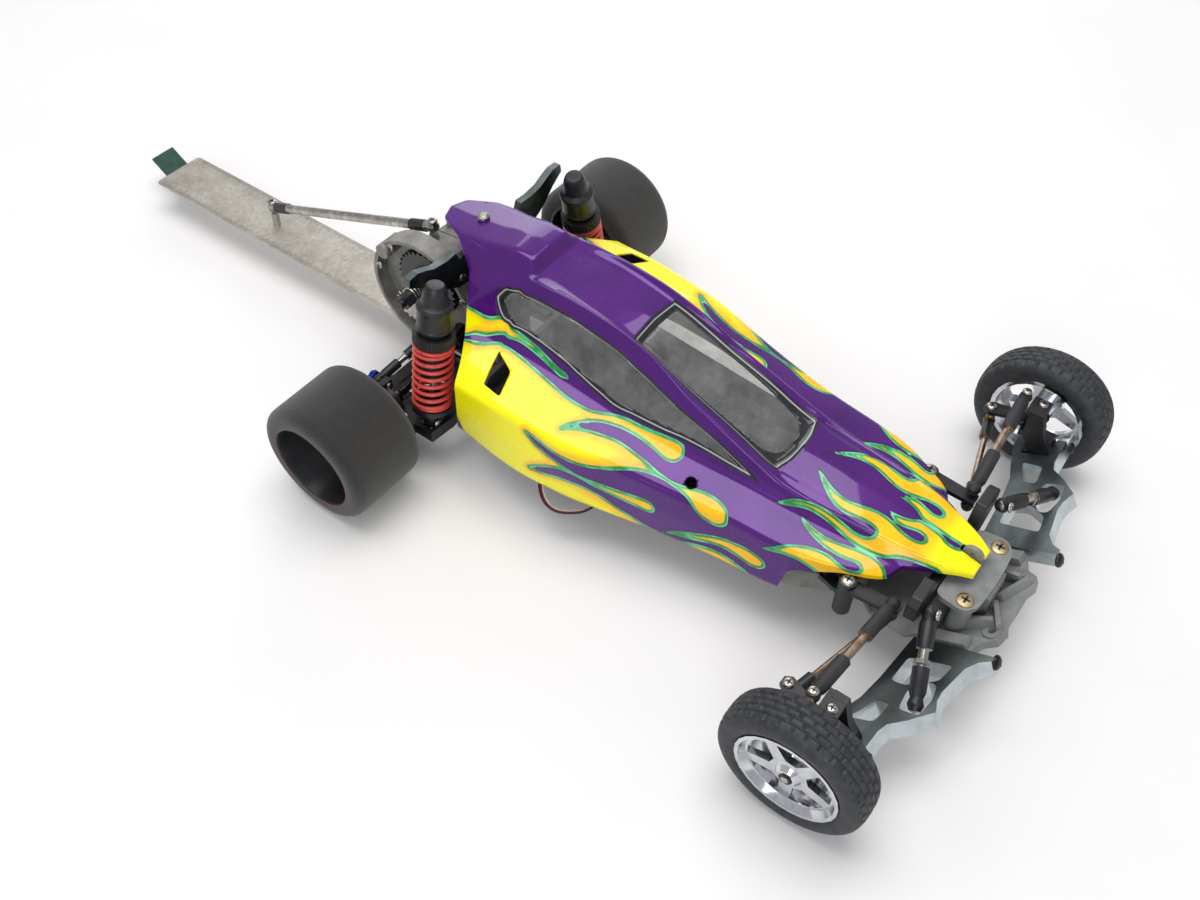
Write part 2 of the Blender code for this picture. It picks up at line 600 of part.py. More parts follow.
def make_rear_tower():
    """V-shaped plate that carries the tops of the two shocks, with a foot on the gearbox."""
    half = [(0, 84.6), (17, 84.6), (27, 85.6), (35, 90), (42, 93.5), (47, 97), (53.5, 103.5),
            (61.6, 109), (61, 113.8), (54.5, 114.2), (48.5, 112), (43, 109.4), (34, 108.2), (26.4, 108.6),
            (24.4, 103.4), (3.3, 103.4), (3.3, 95.6), (0, 95.6)]
    prism("rear_shock_tower", both_sides(half), TOWER_FRONT_Y, TOWER_BACK_Y, GUNMETAL, axis="Y")


def make_body_post():
    """Post that the tail of the body rests on, held on the front of the shock tower."""
    post = rod("rear_body_post", (0, 272.6, 86.0), (0, 272.6, 100.0), 2.9, GREY, 14)
    neck = prism("post_neck", [(269.7, 96), (275.4, 96), (282.4, 106.0), (282.4, 110.0), (277.0, 110.0),
                               (269.7, 101)], -2.9, 2.9, GREY, axis="X")
    join(post, neck)


def make_rear_arm(name, side):
    outline = [(30.2, 262.5), (36, 259.5), (64, 254.5), (80, 256), (80, 268), (88.4, 268), (88.4, 275.2),
               (78, 275.2), (73, 281), (73, 293), (78, 299.2), (88.4, 299.2), (88.4, 306), (74, 306),
               (60, 303), (36, 303), (30.2, 300)]
    arm = prism("rear_arm_" + name, mirror_x(outline, side), 22.6, 30.0, BLACK)
    pin = rod("arm_pin_" + name, (side * REAR_PIN_X, 262.6, REAR_PIN_Z), (side * REAR_PIN_X, 299.9, REAR_PIN_Z),
              3.2, BLACK, 14)
    window = prism("arm_window_" + name, mirror_x([(42, 268), (62, 268), (64, 296), (42, 296)], side),
                   15, 40, BLACK)
    seat = prism("shock_seat_" + name, mirror_x(box_outline(66.6, 258.2, 77.4, 267.8), side), 15, 40, BLACK)
    groove = rod("shaft_groove_" + name, (side * 60, WHEELBASE, 36.0), (side * 92, WHEELBASE, 34.6), 6.8, BLACK,
                 20)
    join(arm, pin)
    cut(arm, window, seat, groove)
    set_origin(arm, (side * REAR_PIN_X, 281, REAR_PIN_Z))


def make_rear_carrier(name, side):
    block = prism("rear_hub_carrier_" + name, mirror_x(box_outline(78.8, 21.8, 89.0, 31.0), side),
                  275.6, 298.8, BLACK, axis="Y")
    barrel = rod("carrier_barrel_" + name, (side * 78.0, WHEELBASE, REAR_AXLE_Z),
                 (side * 91.0, WHEELBASE, REAR_AXLE_Z), 9.6, BLACK, 24)
    upright = prism("carrier_upright_" + name, mirror_x([(78.2, 36), (84, 36), (80, 46.5), (73.5, 46.5),
                                                         (73.5, 41)], side), 288.4, 292.6, BLACK, axis="Y")
    axle = rod("stub_axle_" + name, (side * 90, WHEELBASE, REAR_AXLE_Z), (side * 120.0, WHEELBASE,
                                                                          REAR_AXLE_Z), 2.5, STEEL, 16)
    join(block, barrel, upright)
    mouth = rod("carrier_mouth_" + name, (side * 70, WHEELBASE, REAR_AXLE_Z),
                (side * 84.5, WHEELBASE, REAR_AXLE_Z), 6.6, BLACK, 20)
    cut(block, mouth)
    join(block, axle)
    set_origin(block, (side * HUB_PIN_X, WHEELBASE, HUB_PIN_Z))


def make_half_shaft(name, side):
    """Drive shaft with its ball ends, from the differential's outdrive to the wheel hub."""
    start = Vector((side * 15.5, WHEELBASE, DIFF_Z))
    end = Vector((side * 80.5, WHEELBASE, REAR_AXLE_Z))
    length = (end - start).length
    profile = [(0, 0), (0, 5.0), (10, 5.0), (12, 2.6), (length - 9, 2.6), (length - 7, 4.4),
               (length, 4.4), (length, 0)]
    shaft = turned("rear_half_shaft_" + name, profile, start, end - start, 12, STEEL)
    set_origin(shaft, start)


def make_shock(name, side):
    top = Vector(at_side(SHOCK_TOP, side))
    foot = Vector(at_side(SHOCK_FOOT, side))
    axis = foot - top
    length = axis.length
    body_profile = [(-5.5, 0), (-5.5, 5.2), (-1, 6.6), (5.5, 7.4), (6.5, 9.6), (20, 9.6), (20.5, 8.0),
                    (23, 8.0), (23, 11.2), (29, 11.2), (29, 7.6), (48, 7.6), (48, 2.2), (21, 2.2),
                    (21, 0)]
    body = turned("rear_shock_body_" + name, body_profile, top, axis, 20, BLACK)
    set_origin(body, top)
    rod_profile = [(31, 0), (31, 1.7), (length - 12.5, 1.7), (length - 12.5, 9.6), (length - 9, 9.6),
                   (length - 8, 3.6), (length - 3.4, 3.6), (length - 2.6, 4.2), (length + 2.6, 4.2),
                   (length + 3.4, 2.6), (length + 3.4, 0)]
    shaft = turned("rear_shock_rod_" + name, rod_profile, top, axis, 20, BLACK)
    set_origin(shaft, foot)
    spring_profile = [(29.4, 8.7), (29.4, 11.1), (length - 12.8, 11.1), (length - 12.8, 8.7)]
    spring = turned("rear_spring_" + name, spring_profile, top, axis, 24, RED, closed=True)
    set_origin(spring, top)


def make_rear_camber(name, side):
    turnbuckle("rear_camber_link_" + name, at_side(REAR_CAMBER_IN, side), at_side(REAR_CAMBER_OUT, side),
               BLACK, rod_r=1.8, sleeve_r=2.9, end_r=3.4, sleeve=15.0)
    link = bpy.data.objects["rear_camber_link_" + name]
    set_origin(link, at_side(REAR_CAMBER_IN, side))


# ---------------------------------------------------------------- wheelie bar

def make_wheelie_bar():
    half_w = RULER_W / 2
    outline = fillet([(-half_w, RULER_FRONT_Y), (half_w, RULER_FRONT_Y), (half_w, RULER_REAR_Y),
                      (-half_w, RULER_REAR_Y)], 3.0)
    bar = prism("wheelie_bar", outline, RULER_Z - RULER_T, RULER_Z, STEEL)
    skew = [(-12.5, 548), (4.7, 548), (15.8, 587.5), (-2.0, 587.5)]
    prism("wheelie_strip", skew, 18.6, RULER_Z - RULER_T - GAP, GREEN)
    turnbuckle("wheelie_turnbuckle", BAR_LINK_LOW, BAR_LINK_HIGH, STEEL, rod_r=2.8, sleeve_r=3.4, end_r=3.6,
               sleeve=19.0)
    join(bar, rod("wheelie_stud", (BAR_LINK_LOW[0], BAR_LINK_LOW[1], RULER_Z - 0.5),
                  (BAR_LINK_LOW[0], BAR_LINK_LOW[1], BAR_LINK_LOW[2] - 4.2), 2.4, STEEL, 12))


# ---------------------------------------------------------------- body shell

# Each feature line runs from the nose to the tail: (y, half width x, height z).
BODY_LINES = {
    "centre": [(-20.6, 0, 55.7), (-17, 0, 56.7), (4, 0, 61.0), (26, 0, 63.4), (50, 0, 66.4), (76, 0, 69.4),
               (100, 0, 78.6), (130, 0, 89.9), (165, 0, 102.5), (176, 0, 105.2), (190, 0, 107.2),
               (212, 0, 109.0), (229.5, 0, 110.6), (235, 0, 117.8), (243, 0, 118.3), (264, 0, 115.0),
               (284, 0, 112.4), (303, 0, 110.4)],
    "deck": [(-20.6, 6.6, 55.4), (-12, 9.6, 57.5), (4, 13.0, 60.4), (26, 18.2, 62.4), (50, 19.6, 64.8),
             (82, 20.3, 68.6), (110, 19.8, 79.8), (130, 19.3, 87.2), (168, 18.0, 102.1),
             (200, 17.6, 108.2), (229.5, 13.2, 110.4), (235, 13.6, 117.3), (243, 14.1, 117.7),
             (264, 15.4, 114.3), (284, 15.2, 111.8), (299.5, 9.5, 110.4)],
    "ridge": [(-20.6, 8.2, 55.1), (-12, 12.0, 57.4), (0, 16.2, 59.5), (12, 19.0, 61.4), (34, 21.8, 63.6),
              (60, 24.4, 64.8), (74, 25.2, 66.8), (88, 24.6, 71.8), (110, 23.8, 80.5), (130, 22.8, 88.6),
              (157, 20.6, 102.6), (181, 20.3, 108.9), (206, 20.2, 111.2), (223, 20.8, 110.9),
              (245, 20.4, 110.0), (258, 18.0, 111.2), (270, 17.6, 112.0), (283.5, 16.8, 111.3)],
    "glass": [(-20.6, 8.6, 54.6), (-12, 13.2, 56.2), (4, 18.8, 57.6), (12, 21.2, 58.8), (26, 23.0, 59.6),
              (42, 24.8, 60.4), (60, 26.6, 61.2), (82, 27.0, 65.6), (110, 26.2, 75.8), (130, 25.2, 83.6),
              (157, 23.4, 97.3), (181, 23.4, 103.6), (206, 23.9, 106.0), (225, 25.0, 105.0),
              (245, 27.0, 103.0), (268, 26.5, 101.5)],
    "belt": [(-20.6, 8.8, 54.1), (-12, 13.6, 55.6), (-1, 19.0, 54.8), (8.6, 24.0, 54.8), (12, 24.6, 55.2),
             (26, 26.0, 55.6), (40, 27.6, 56.4), (60, 29.5, 57.6), (93, 32.3, 61.4), (123, 36.1, 65.1),
             (149, 38.9, 69.9), (163, 40.2, 72.9), (188, 41.0, 76.9), (210, 41.2, 79.7), (239, 43.0, 82.0),
             (255, 46.5, 83.0)],
    "pod": [(-20.6, 8.9, 53.6), (-12, 13.8, 55.1), (-1, 19.2, 54.3), (8.6, 24.3, 54.2), (12, 27.8, 53.8),
            (27.6, 33.0, 54.9), (41, 36.8, 56.0), (60, 39.4, 57.0), (93, 42.8, 60.0), (123, 47.2, 63.0),
            (149, 51.2, 67.0), (175, 55.4, 71.0), (195, 56.4, 73.0), (223, 57.4, 75.8), (247, 59.5, 76.5)],
    "shoulder": [(-20.6, 9.0, 53.2), (-12, 13.9, 54.7), (-1, 19.3, 53.8), (8.6, 24.5, 53.6),
                 (12, 31.0, 52.0), (27.6, 40.0, 53.5), (41, 45.6, 54.8), (60, 49.3, 55.4), (87, 52.0, 57.0),
                 (107, 55.2, 58.4), (143.5, 62.0, 62.4), (175, 69.0, 65.6), (195, 70.8, 67.0),
                 (223, 72.0, 69.2), (242, 71.9, 69.4)],
    "flank": [(-20.6, 9.1, 52.8), (-12, 14.0, 54.3), (-1, 19.4, 53.4), (8.6, 24.7, 53.0),
              (12, 31.4, 51.2), (28.8, 40.5, 51.8), (43.6, 46.6, 50.6), (53.5, 49.8, 49.0),
              (55.8, 50.4, 44.0), (87, 53.8, 44.0), (107, 57.2, 44.6), (143.5, 64.2, 46.6),
              (175, 70.8, 48.0), (202, 72.4, 48.6), (244, 70.6, 50.0)],
    "hem": [(-20.6, 9.2, 52.4), (-12, 14.1, 53.9), (-1, 19.5, 53.0), (8.6, 24.9, 52.4),
            (12, 31.8, 50.2), (28.8, 40.8, 50.2), (43.6, 47.2, 46.4), (53.5, 51.0, 42.0),
            (55.8, 52.4, 29.5), (87, 55.6, 29.5), (122, 60.4, 29.5), (150, 66.0, 29.5), (175, 70.4, 29.5),
            (202, 72.2, 29.5), (248, 67.6, 30.0)]}
LINE_ORDER = ("centre", "deck", "ridge", "glass", "belt", "pod", "shoulder", "flank", "hem")
BODY_ROWS = (-20.6, -17, -12, -6, 1, 8.6, 12, 20, 28.8, 36, 43.6, 53.5, 55.8, 64, 76, 86, 98, 112, 128, 146,
             162, 176, 190, 205, 218, 229.5, 235)
TAIL_ROWS = 6             # rows behind the roof step, which follow each line to its own rear end


def on_line(name, y):
    """Half width and height of a feature line at a distance behind the front axle."""
    knots = BODY_LINES[name]
    if y <= knots[0][0]:
        return knots[0][1:]
    for first, second in zip(knots, knots[1:]):
        if y <= second[0]:
            t = (y - first[0]) / (second[0] - first[0])
            return tuple(a + (b - a) * t for a, b in zip(first[1:], second[1:]))
    return knots[-1][1:]


def body_surface():
    """One row of points across the car for each station, right hem to left hem."""
    rows = []
    for k in range(len(BODY_ROWS) + TAIL_ROWS):
        half = []
        for name in LINE_ORDER:
            if k < len(BODY_ROWS):
                y = BODY_ROWS[k]
            else:
                share = (k - len(BODY_ROWS) + 1) / TAIL_ROWS
                y = BODY_ROWS[-1] + (BODY_LINES[name][-1][0] - BODY_ROWS[-1]) * share
            x, z = on_line(name, y)
            half.append((x, y, z))
        rows.append([(-x, y, z) for x, y, z in reversed(half[1:])] + half)
    return rows


def make_body():
    bm = bmesh.new()
    grid = [[bm.verts.new(point) for point in row] for row in body_surface()]
    for first, second in zip(grid, grid[1:]):
        for i in range(len(first) - 1):
            bm.faces.new((first[i], second[i], second[i + 1], first[i + 1]))
    shell = add_object("body_shell", bm, PURPLE)
    skin = shell.modifiers.new("wall", "SOLIDIFY")
    skin.thickness = BODY_WALL * MM
    skin.offset = -1.0
    slot = prism("nose_slot", box_outline(-2.1, -21.3, 2.1, -8.9), 50, 66, PURPLE)
    post_hole = rod("post_hole", (0, 279.8, 100), (0, 279.8, 125), 2.3, PURPLE, 14)
    port = rod("side_port", (-50.2, 112.3, 70), (-45.4, 112.3, 52), 3.3, PURPLE, 14)
    cut(shell, slot, post_hole, port)
    for name, side in SIDES:
        vent = [(46.2, 232.3), (53.2, 219.8), (66.1, 216.8), (63.5, 228.2)]
        cut(shell, prism("side_vent_" + name, mirror_x(vent, side), 62, 90, PURPLE))
    turned("body_screw", [(0, 0), (0, 3.6), (1.4, 3.4), (2.4, 2.0), (2.4, 0)], (0, 279.8, 113.5),
           (0, 0, 1), 14, STEEL)


# ---------------------------------------------------------------- build

clear_scene()
CAR = bpy.data.objects.new("car", None)
CAR.location = (0, -Y_CENTRE * MM, 0)
bpy.context.scene.collection.objects.link(CAR)

GREY = material("grey_plastic", (0.20, 0.20, 0.19), 0.55)
BLACK = material("black_plastic", (0.025, 0.025, 0.028), 0.5)
GUNMETAL = material("gunmetal_aluminium", (0.30, 0.36, 0.40), 0.35, 0.9)
STEEL = material("steel", (0.55, 0.53, 0.50), 0.35, 1.0)
CHROME = material("chrome", (0.75, 0.75, 0.75), 0.12, 1.0)
RUBBER = material("tyre_rubber", (0.03, 0.03, 0.03), 0.8)
FOAM = material("foam_rubber", (0.035, 0.03, 0.028), 0.95)
RED = material("red_spring", (0.75, 0.05, 0.03), 0.35)
GREEN = material("green_strip", (0.04, 0.13, 0.09), 0.7)
PURPLE = material("purple_paint", (0.12, 0.02, 0.35), 0.25, 0.3)
SLEEVE_BLUE = material("battery_sleeve", (0.03, 0.05, 0.20), 0.4)

make_tub()
make_battery()
make_electrics()
make_servo_lead()
make_bulkhead()
make_top_plate()
make_front_tower()
make_drag_link()
for side_name, sign in SIDES:
    make_front_arm(side_name, sign)
    make_front_links(side_name, sign)
    make_caster_block(side_name, sign)
    make_knuckle(side_name, sign)
    make_crank(side_name, sign)
    make_steering_link(side_name, sign)
    make_front_wheel(side_name, sign)
    make_rear_wheel(side_name, sign)
    make_rear_arm(side_name, sign)
    make_rear_carrier(side_name, sign)
    make_half_shaft(side_name, sign)
    make_shock(side_name, sign)
    make_rear_camber(side_name, sign)
make_gearbox()
make_motor()
make_gears()
make_rear_tower()
make_body_post()
make_wheelie_bar()
make_body()
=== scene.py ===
"""The looks of a 1/10-scale electric rc buggy set up for drag racing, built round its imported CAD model.

Lengths below are millimetres in the car's own frame: x across (+x is the car's left), y back from the front
axle and z up from the ground, with the nose towards -y.  at() turns them into the frame's metres.
"""
import json
import math

import bmesh
import bpy
import numpy as np
from mathutils import Matrix, Vector

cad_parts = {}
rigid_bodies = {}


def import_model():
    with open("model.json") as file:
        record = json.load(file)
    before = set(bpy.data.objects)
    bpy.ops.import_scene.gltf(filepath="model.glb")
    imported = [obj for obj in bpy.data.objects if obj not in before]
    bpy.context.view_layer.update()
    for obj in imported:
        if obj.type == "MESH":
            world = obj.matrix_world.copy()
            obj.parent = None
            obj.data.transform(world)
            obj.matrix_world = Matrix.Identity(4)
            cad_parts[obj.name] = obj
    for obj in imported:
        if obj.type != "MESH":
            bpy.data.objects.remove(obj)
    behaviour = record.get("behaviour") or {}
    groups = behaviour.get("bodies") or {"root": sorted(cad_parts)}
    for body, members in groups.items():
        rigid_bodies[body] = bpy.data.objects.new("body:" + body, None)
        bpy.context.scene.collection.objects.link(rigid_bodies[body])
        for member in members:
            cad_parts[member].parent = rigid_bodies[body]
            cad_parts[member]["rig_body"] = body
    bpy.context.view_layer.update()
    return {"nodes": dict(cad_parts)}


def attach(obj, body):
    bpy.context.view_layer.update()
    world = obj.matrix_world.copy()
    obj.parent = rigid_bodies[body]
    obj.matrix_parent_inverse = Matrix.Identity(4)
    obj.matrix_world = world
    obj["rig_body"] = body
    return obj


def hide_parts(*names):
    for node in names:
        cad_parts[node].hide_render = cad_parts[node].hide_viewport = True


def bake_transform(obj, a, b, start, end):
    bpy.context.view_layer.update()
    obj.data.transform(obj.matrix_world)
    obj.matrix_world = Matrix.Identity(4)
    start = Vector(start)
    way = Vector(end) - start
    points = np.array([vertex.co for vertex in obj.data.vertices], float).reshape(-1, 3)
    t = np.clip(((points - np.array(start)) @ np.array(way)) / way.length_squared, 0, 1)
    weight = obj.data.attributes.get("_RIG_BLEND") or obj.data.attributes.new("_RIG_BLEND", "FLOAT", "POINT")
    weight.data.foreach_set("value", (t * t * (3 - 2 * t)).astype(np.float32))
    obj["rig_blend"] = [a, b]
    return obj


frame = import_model()

MM = 0.001
Y_CENTRE = 268.8          # the frame's origin, behind the front axle
SIDES = (("right", -1), ("left", 1))

# camera, as fitted to the photograph
CAMERA_AT = (-364.0, -70.6, 505.4)
CAMERA_AZIMUTH, CAMERA_ELEVATION, CAMERA_ROLL = -53.12, 49.11, 0.15     # degrees
CAMERA_LENS = 35.49                   # for a sensor 36 wide

# driving dimensions, the same as the CAD model's
WHEELBASE = 286.0
FRONT_R, FRONT_FACE_X, FRONT_TYRE_W = 36.3, 139.9, 22.0
REAR_R, REAR_FACE_X, REAR_TYRE_W = 35.0, 139.1, 47.9
RIM_R = 25.5
RULER_Z = 21.4


# ---------------------------------------------------------------- helpers

def at(x, y, z):
    """A point of the car, in the frame's metres."""
    return Vector((x, y - Y_CENTRE, z)) * MM


def on_side(point, side):
    return Vector((side * point[0], point[1], point[2]))


def link_object(name, data):
    obj = bpy.data.objects.new(name, data)
    bpy.context.scene.collection.objects.link(obj)
    return obj


def add_piece(name, bm, body, mats, replaces=(), smooth=35.0, bevel=0.0, segments=2):
    """Turn a bmesh in the car's millimetres into a piece that rides on a CAD body."""
    bmesh.ops.recalc_face_normals(bm, faces=bm.faces)
    return add_shaped(name, bm, body, mats, replaces, smooth, bevel, segments)


def add_shaped(name, bm, body, mats, replaces=(), smooth=35.0, bevel=0.0, segments=2):
    """The same, for a mesh whose faces already point the right way."""
    for vert in bm.verts:
        vert.co = at(*vert.co)
    mesh = bpy.data.meshes.new(name)
    bm.to_mesh(mesh)
    bm.free()
    for mat in (mats if isinstance(mats, (list, tuple)) else [mats]):
        mesh.materials.append(mat)
    mesh.shade_smooth()
    mesh.set_sharp_from_angle(angle=math.radians(smooth))
    obj = link_object(name, mesh)
    if bevel:
        round_edges(obj, bevel, segments)
    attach(obj, body)
    if replaces:
        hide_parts(*replaces)
    return obj


def round_edges(obj, width, segments=2, angle=32.0):
    edge = obj.modifiers.new("edges", "BEVEL")
    edge.width = width * MM
    edge.segments = segments
    edge.limit_method = "ANGLE"
    edge.angle_limit = math.radians(angle)
    edge.use_clamp_overlap = True
    edge.harden_normals = True


def softened(node, body, mats, width=0.5, segments=2, dissolve=1.0):
    """A copy of a CAD node with its flat faces merged and its edges rounded, which stands for the node."""
    bm = bmesh.new()
    bm.from_mesh(frame["nodes"][node].data)
    bmesh.ops.remove_doubles(bm, verts=bm.verts, dist=2e-5)
    bmesh.ops.dissolve_limit(bm, angle_limit=math.radians(dissolve), verts=bm.verts, edges=bm.edges)
    mesh = bpy.data.meshes.new(node + "_soft")
    bm.to_mesh(mesh)
    bm.free()
    for mat in (mats if isinstance(mats, (list, tuple)) else [mats]):
        mesh.materials.append(mat)
    mesh.shade_smooth()
    mesh.set_sharp_from_angle(angle=math.radians(30))
    obj = link_object(node + "_soft", mesh)
    round_edges(obj, width, segments)
    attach(obj, body)
    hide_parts(node)
    return obj


def paint_node(node, mat):
    """Give a CAD node that keeps its own shape a better material."""
    mesh = frame["nodes"][node].data
    mesh.materials.clear()
    mesh.materials.append(mat)


def join_meshes(parts):
    """One bmesh that holds several, which are freed."""
    whole = bmesh.new()
    for part in parts:
        mesh = bpy.data.meshes.new("part")
        part.to_mesh(mesh)
        part.free()
        whole.from_mesh(mesh)
        bpy.data.meshes.remove(mesh)
    return whole


def with_material(bm, index):
    for face in bm.faces:
        face.material_index = index
    return bm


def axes_of(direction):
    """Three unit vectors: along a direction, and two across it."""
    along = Vector(direction).normalized()
    helper = Vector((0, 0, -1)) if abs(along.z) < 0.9 else Vector((1, 0, 0))
    across = (helper - along * helper.dot(along)).normalized()
    return along, across, along.cross(across)


def turned(profile, origin, direction, count=32, closed=False):
    """Spin a profile of (distance along the axis, radius) round an axis."""
    along, across, third = axes_of(direction)
    bm = bmesh.new()
    rings = []
    for step, radius in profile:
        centre = Vector(origin) + along * step
        if radius < 1e-6:
            rings.append([bm.verts.new(centre)])
            continue
        rings.append([bm.verts.new(centre + (across * math.cos(2 * math.pi * i / count)
                                             + third * math.sin(2 * math.pi * i / count)) * radius)
                      for i in range(count)])
    pairs = list(zip(rings, rings[1:]))
    if closed:
        pairs.append((rings[-1], rings[0]))
    for first, second in pairs:
        for i in range(count):
            j = (i + 1) % count
            if len(first) == 1 and len(second) == 1:
                continue
            if len(first) == 1:
                bm.faces.new((first[0], second[i], second[j]))
            elif len(second) == 1:
                bm.faces.new((first[i], first[j], second[0]))
            else:
                bm.faces.new((first[i], first[j], second[j], second[i]))
    return bm


def rounded_profile(profile, radius, steps=2):
    """The corners of an open turned profile, cut back and rounded."""
    points = [Vector(p) for p in profile]
    out = [profile[0]]
    for before, corner, after in zip(points, points[1:], points[2:]):
        reach_in = min(radius, (before - corner).length * 0.45)
        reach_out = min(radius, (after - corner).length * 0.45)
        start = corner + (before - corner).normalized() * reach_in
        end = corner + (after - corner).normalized() * reach_out
        for k in range(steps + 1):
            t = k / steps
            point = start * (1 - t) ** 2 + corner * 2 * t * (1 - t) + end * t ** 2
            out.append((point.x, max(point.y, 0.0)))
    out.append(profile[-1])
    return out


def to_axes(u, v, w, axis):
    return {"Z": (u, v, w), "Y": (u, w, v), "X": (w, u, v)}[axis]


def prism(outline, low, high, axis="Z"):
    bm = bmesh.new()
    ends = [[bm.verts.new(to_axes(u, v, w, axis)) for u, v in outline] for w in (low, high)]
    bm.faces.new(ends[0])
    bm.faces.new(list(reversed(ends[1])))
    for i in range(len(outline)):
        j = (i + 1) % len(outline)
        bm.faces.new((ends[0][i], ends[0][j], ends[1][j], ends[1][i]))
    return bm


def box_outline(u0, v0, u1, v1):
    return [(u0, v0), (u1, v0), (u1, v1), (u0, v1)]


def circle(cu, cv, radius, count, start=0.0):
    step = 2.0 * math.pi / count
    return [(cu + radius * math.cos(start + i * step), cv + radius * math.sin(start + i * step))
            for i in range(count)]


def fillet(outline, radius, steps=3):
    rounded = []
    count = len(outline)
    for i in range(count):
        corner = Vector(outline[i])
        before = Vector(outline[i - 1]) - corner
        after = Vector(outline[(i + 1) % count]) - corner
        reach = min(radius, before.length * 0.45, after.length * 0.45)
        start = corner + before.normalized() * reach
        end = corner + after.normalized() * reach
        for k in range(steps + 1):
            t = k / steps
            point = start * (1 - t) ** 2 + corner * 2 * t * (1 - t) + end * t ** 2
            rounded.append((point.x, point.y))
    return rounded


def catmull(knots, t):
    a, b, c, d = knots
    return 0.5 * (b * 2 + (c - a) * t + (a * 2 - b * 5 + c * 4 - d) * t ** 2
                  + (b * 3 - a - c * 3 + d) * t ** 3)


def smooth_route(route, steps):
    """Points along a Catmull-Rom curve through a route."""
    points = []
    for i in range(len(route) - 1):
        knots = [Vector(route[max(i - 1, 0)]), Vector(route[i]),
                 Vector(route[i + 1]), Vector(route[min(i + 2, len(route) - 1)])]
        points += [catmull(knots, k / steps) for k in range(steps)]
    points.append(Vector(route[-1]))
    return points


def swept(points, section, up=(0, 0, 1), twist=None, cap=True):
    """Sweep a section of (sideways, upwards) points along a line of points, kept upright."""
    bm = bmesh.new()
    rings = []
    for i, point in enumerate(points):
        along = (points[min(i + 1, len(points) - 1)] - points[max(i - 1, 0)]).normalized()
        side = along.cross(Vector(up))
        side = side.normalized() if side.length > 1e-6 else Vector((1, 0, 0))
        top = side.cross(along)
        if twist:
            side, top = twist(i, side, top)
        rings.append([bm.verts.new(point + side * u + top * v) for u, v in section])
    for first, second in zip(rings, rings[1:]):
        for i in range(len(section)):
            j = (i + 1) % len(section)
            bm.faces.new((first[i], first[j], second[j], second[i]))
    if cap:
        bm.faces.new(rings[0])
        bm.faces.new(list(reversed(rings[-1])))
    return bm


# ---------------------------------------------------------------- materials

class Nodes:
    """A new material's node tree, with short ways to add and join nodes."""

    def __init__(self, name, colour):
        self.material = bpy.data.materials.new(name)
        self.material.use_nodes = True
        self.material.diffuse_color = (*colour, 1.0)
        self.tree = self.material.node_tree
        self.shader = self.tree.nodes["Principled BSDF"]
        self.place = self.add("ShaderNodeTexCoord").outputs["Object"]

    def add(self, kind, **settings):
        node = self.tree.nodes.new(kind)
        for key, value in settings.items():
            setattr(node, key, value)
        return node

    def join(self, output, target):
        self.tree.links.new(output, target)

    def set(self, **values):
        """Set the shader's own sockets, such as Coat_Weight=1."""
        for key, value in values.items():
            self.shader.inputs[key.replace("_", " ")].default_value = value

    def noise(self, size, detail=3.0, roughness=0.55, stretch=None):
        """A noise whose features are about size millimetres across."""
        node = self.add("ShaderNodeTexNoise")
        node.inputs["Scale"].default_value = 1.0 / (size * MM)
        node.inputs["Detail"].default_value = detail
        node.inputs["Roughness"].default_value = roughness
        self.join(self.scaled(stretch) if stretch else self.place, node.inputs["Vector"])
        return node.outputs["Fac"]

    def scaled(self, stretch):
        node = self.add("ShaderNodeMapping")
        node.inputs["Scale"].default_value = stretch
        self.join(self.place, node.inputs["Vector"])
        return node.outputs["Vector"]

    def ramp(self, value, low, high, start=0.0, end=1.0, smooth=False):
        """Map a value from low..high to start..end, held at both ends."""
        node = self.add("ShaderNodeMapRange")
        node.interpolation_type = "SMOOTHSTEP" if smooth else "LINEAR"
        node.inputs["From Min"].default_value = low
        node.inputs["From Max"].default_value = high
        node.inputs["To Min"].default_value = start
        node.inputs["To Max"].default_value = end
        self.join(value, node.inputs["Value"])
        return node.outputs["Result"]

    def maths(self, operation, first, second):
        node = self.add("ShaderNodeMath", operation=operation)
        for socket, value in zip(node.inputs, (first, second)):
            if isinstance(value, (int, float)):
                socket.default_value = value
            else:
                self.join(value, socket)
        return node.outputs["Value"]

    def mix(self, share, first, second, blend="MIX"):
        """Mix two colours, each a triple or another node's output."""
        node = self.add("ShaderNodeMix", data_type="RGBA", blend_type=blend)
        if isinstance(share, (int, float)):
            node.inputs["Factor"].default_value = share
        else:
            self.join(share, node.inputs["Factor"])
        for name, value in (("A", first), ("B", second)):
            socket = [s for s in node.inputs if s.name == name and s.type == "RGBA"][0]
            if isinstance(value, tuple):
                socket.default_value = (*value, 1.0)
            else:
                self.join(value, socket)
        return [s for s in node.outputs if s.type == "RGBA"][0]

    def stored(self, name):
        node = self.add("ShaderNodeAttribute", attribute_name=name)
        return node.outputs["Fac"]

    def height(self):
        split = self.add("ShaderNodeSeparateXYZ")
        self.join(self.place, split.inputs["Vector"])
        return split.outputs

    def bump(self, value, depth, strength=1.0):
        """Raise the surface by a value from 0 to 1 times a depth in millimetres."""
        node = self.add("ShaderNodeBump")
        node.inputs["Strength"].default_value = strength
        node.inputs["Distance"].default_value = depth * MM
        self.join(value, node.inputs["Height"])
        self.join(node.outputs["Normal"], self.shader.inputs["Normal"])

    def colour(self, value):
        self.join(value, self.shader.inputs["Base Color"])

    def rough(self, value):
        self.join(value, self.shader.inputs["Roughness"])


def srgb(hex_code):
    """A colour written as rrggbb, as the linear numbers that shaders use."""
    channels = [int(hex_code[i:i + 2], 16) / 255 for i in (0, 2, 4)]
    return tuple(c / 12.92 if c <= 0.04045 else ((c + 0.055) / 1.055) ** 2.4 for c in channels)


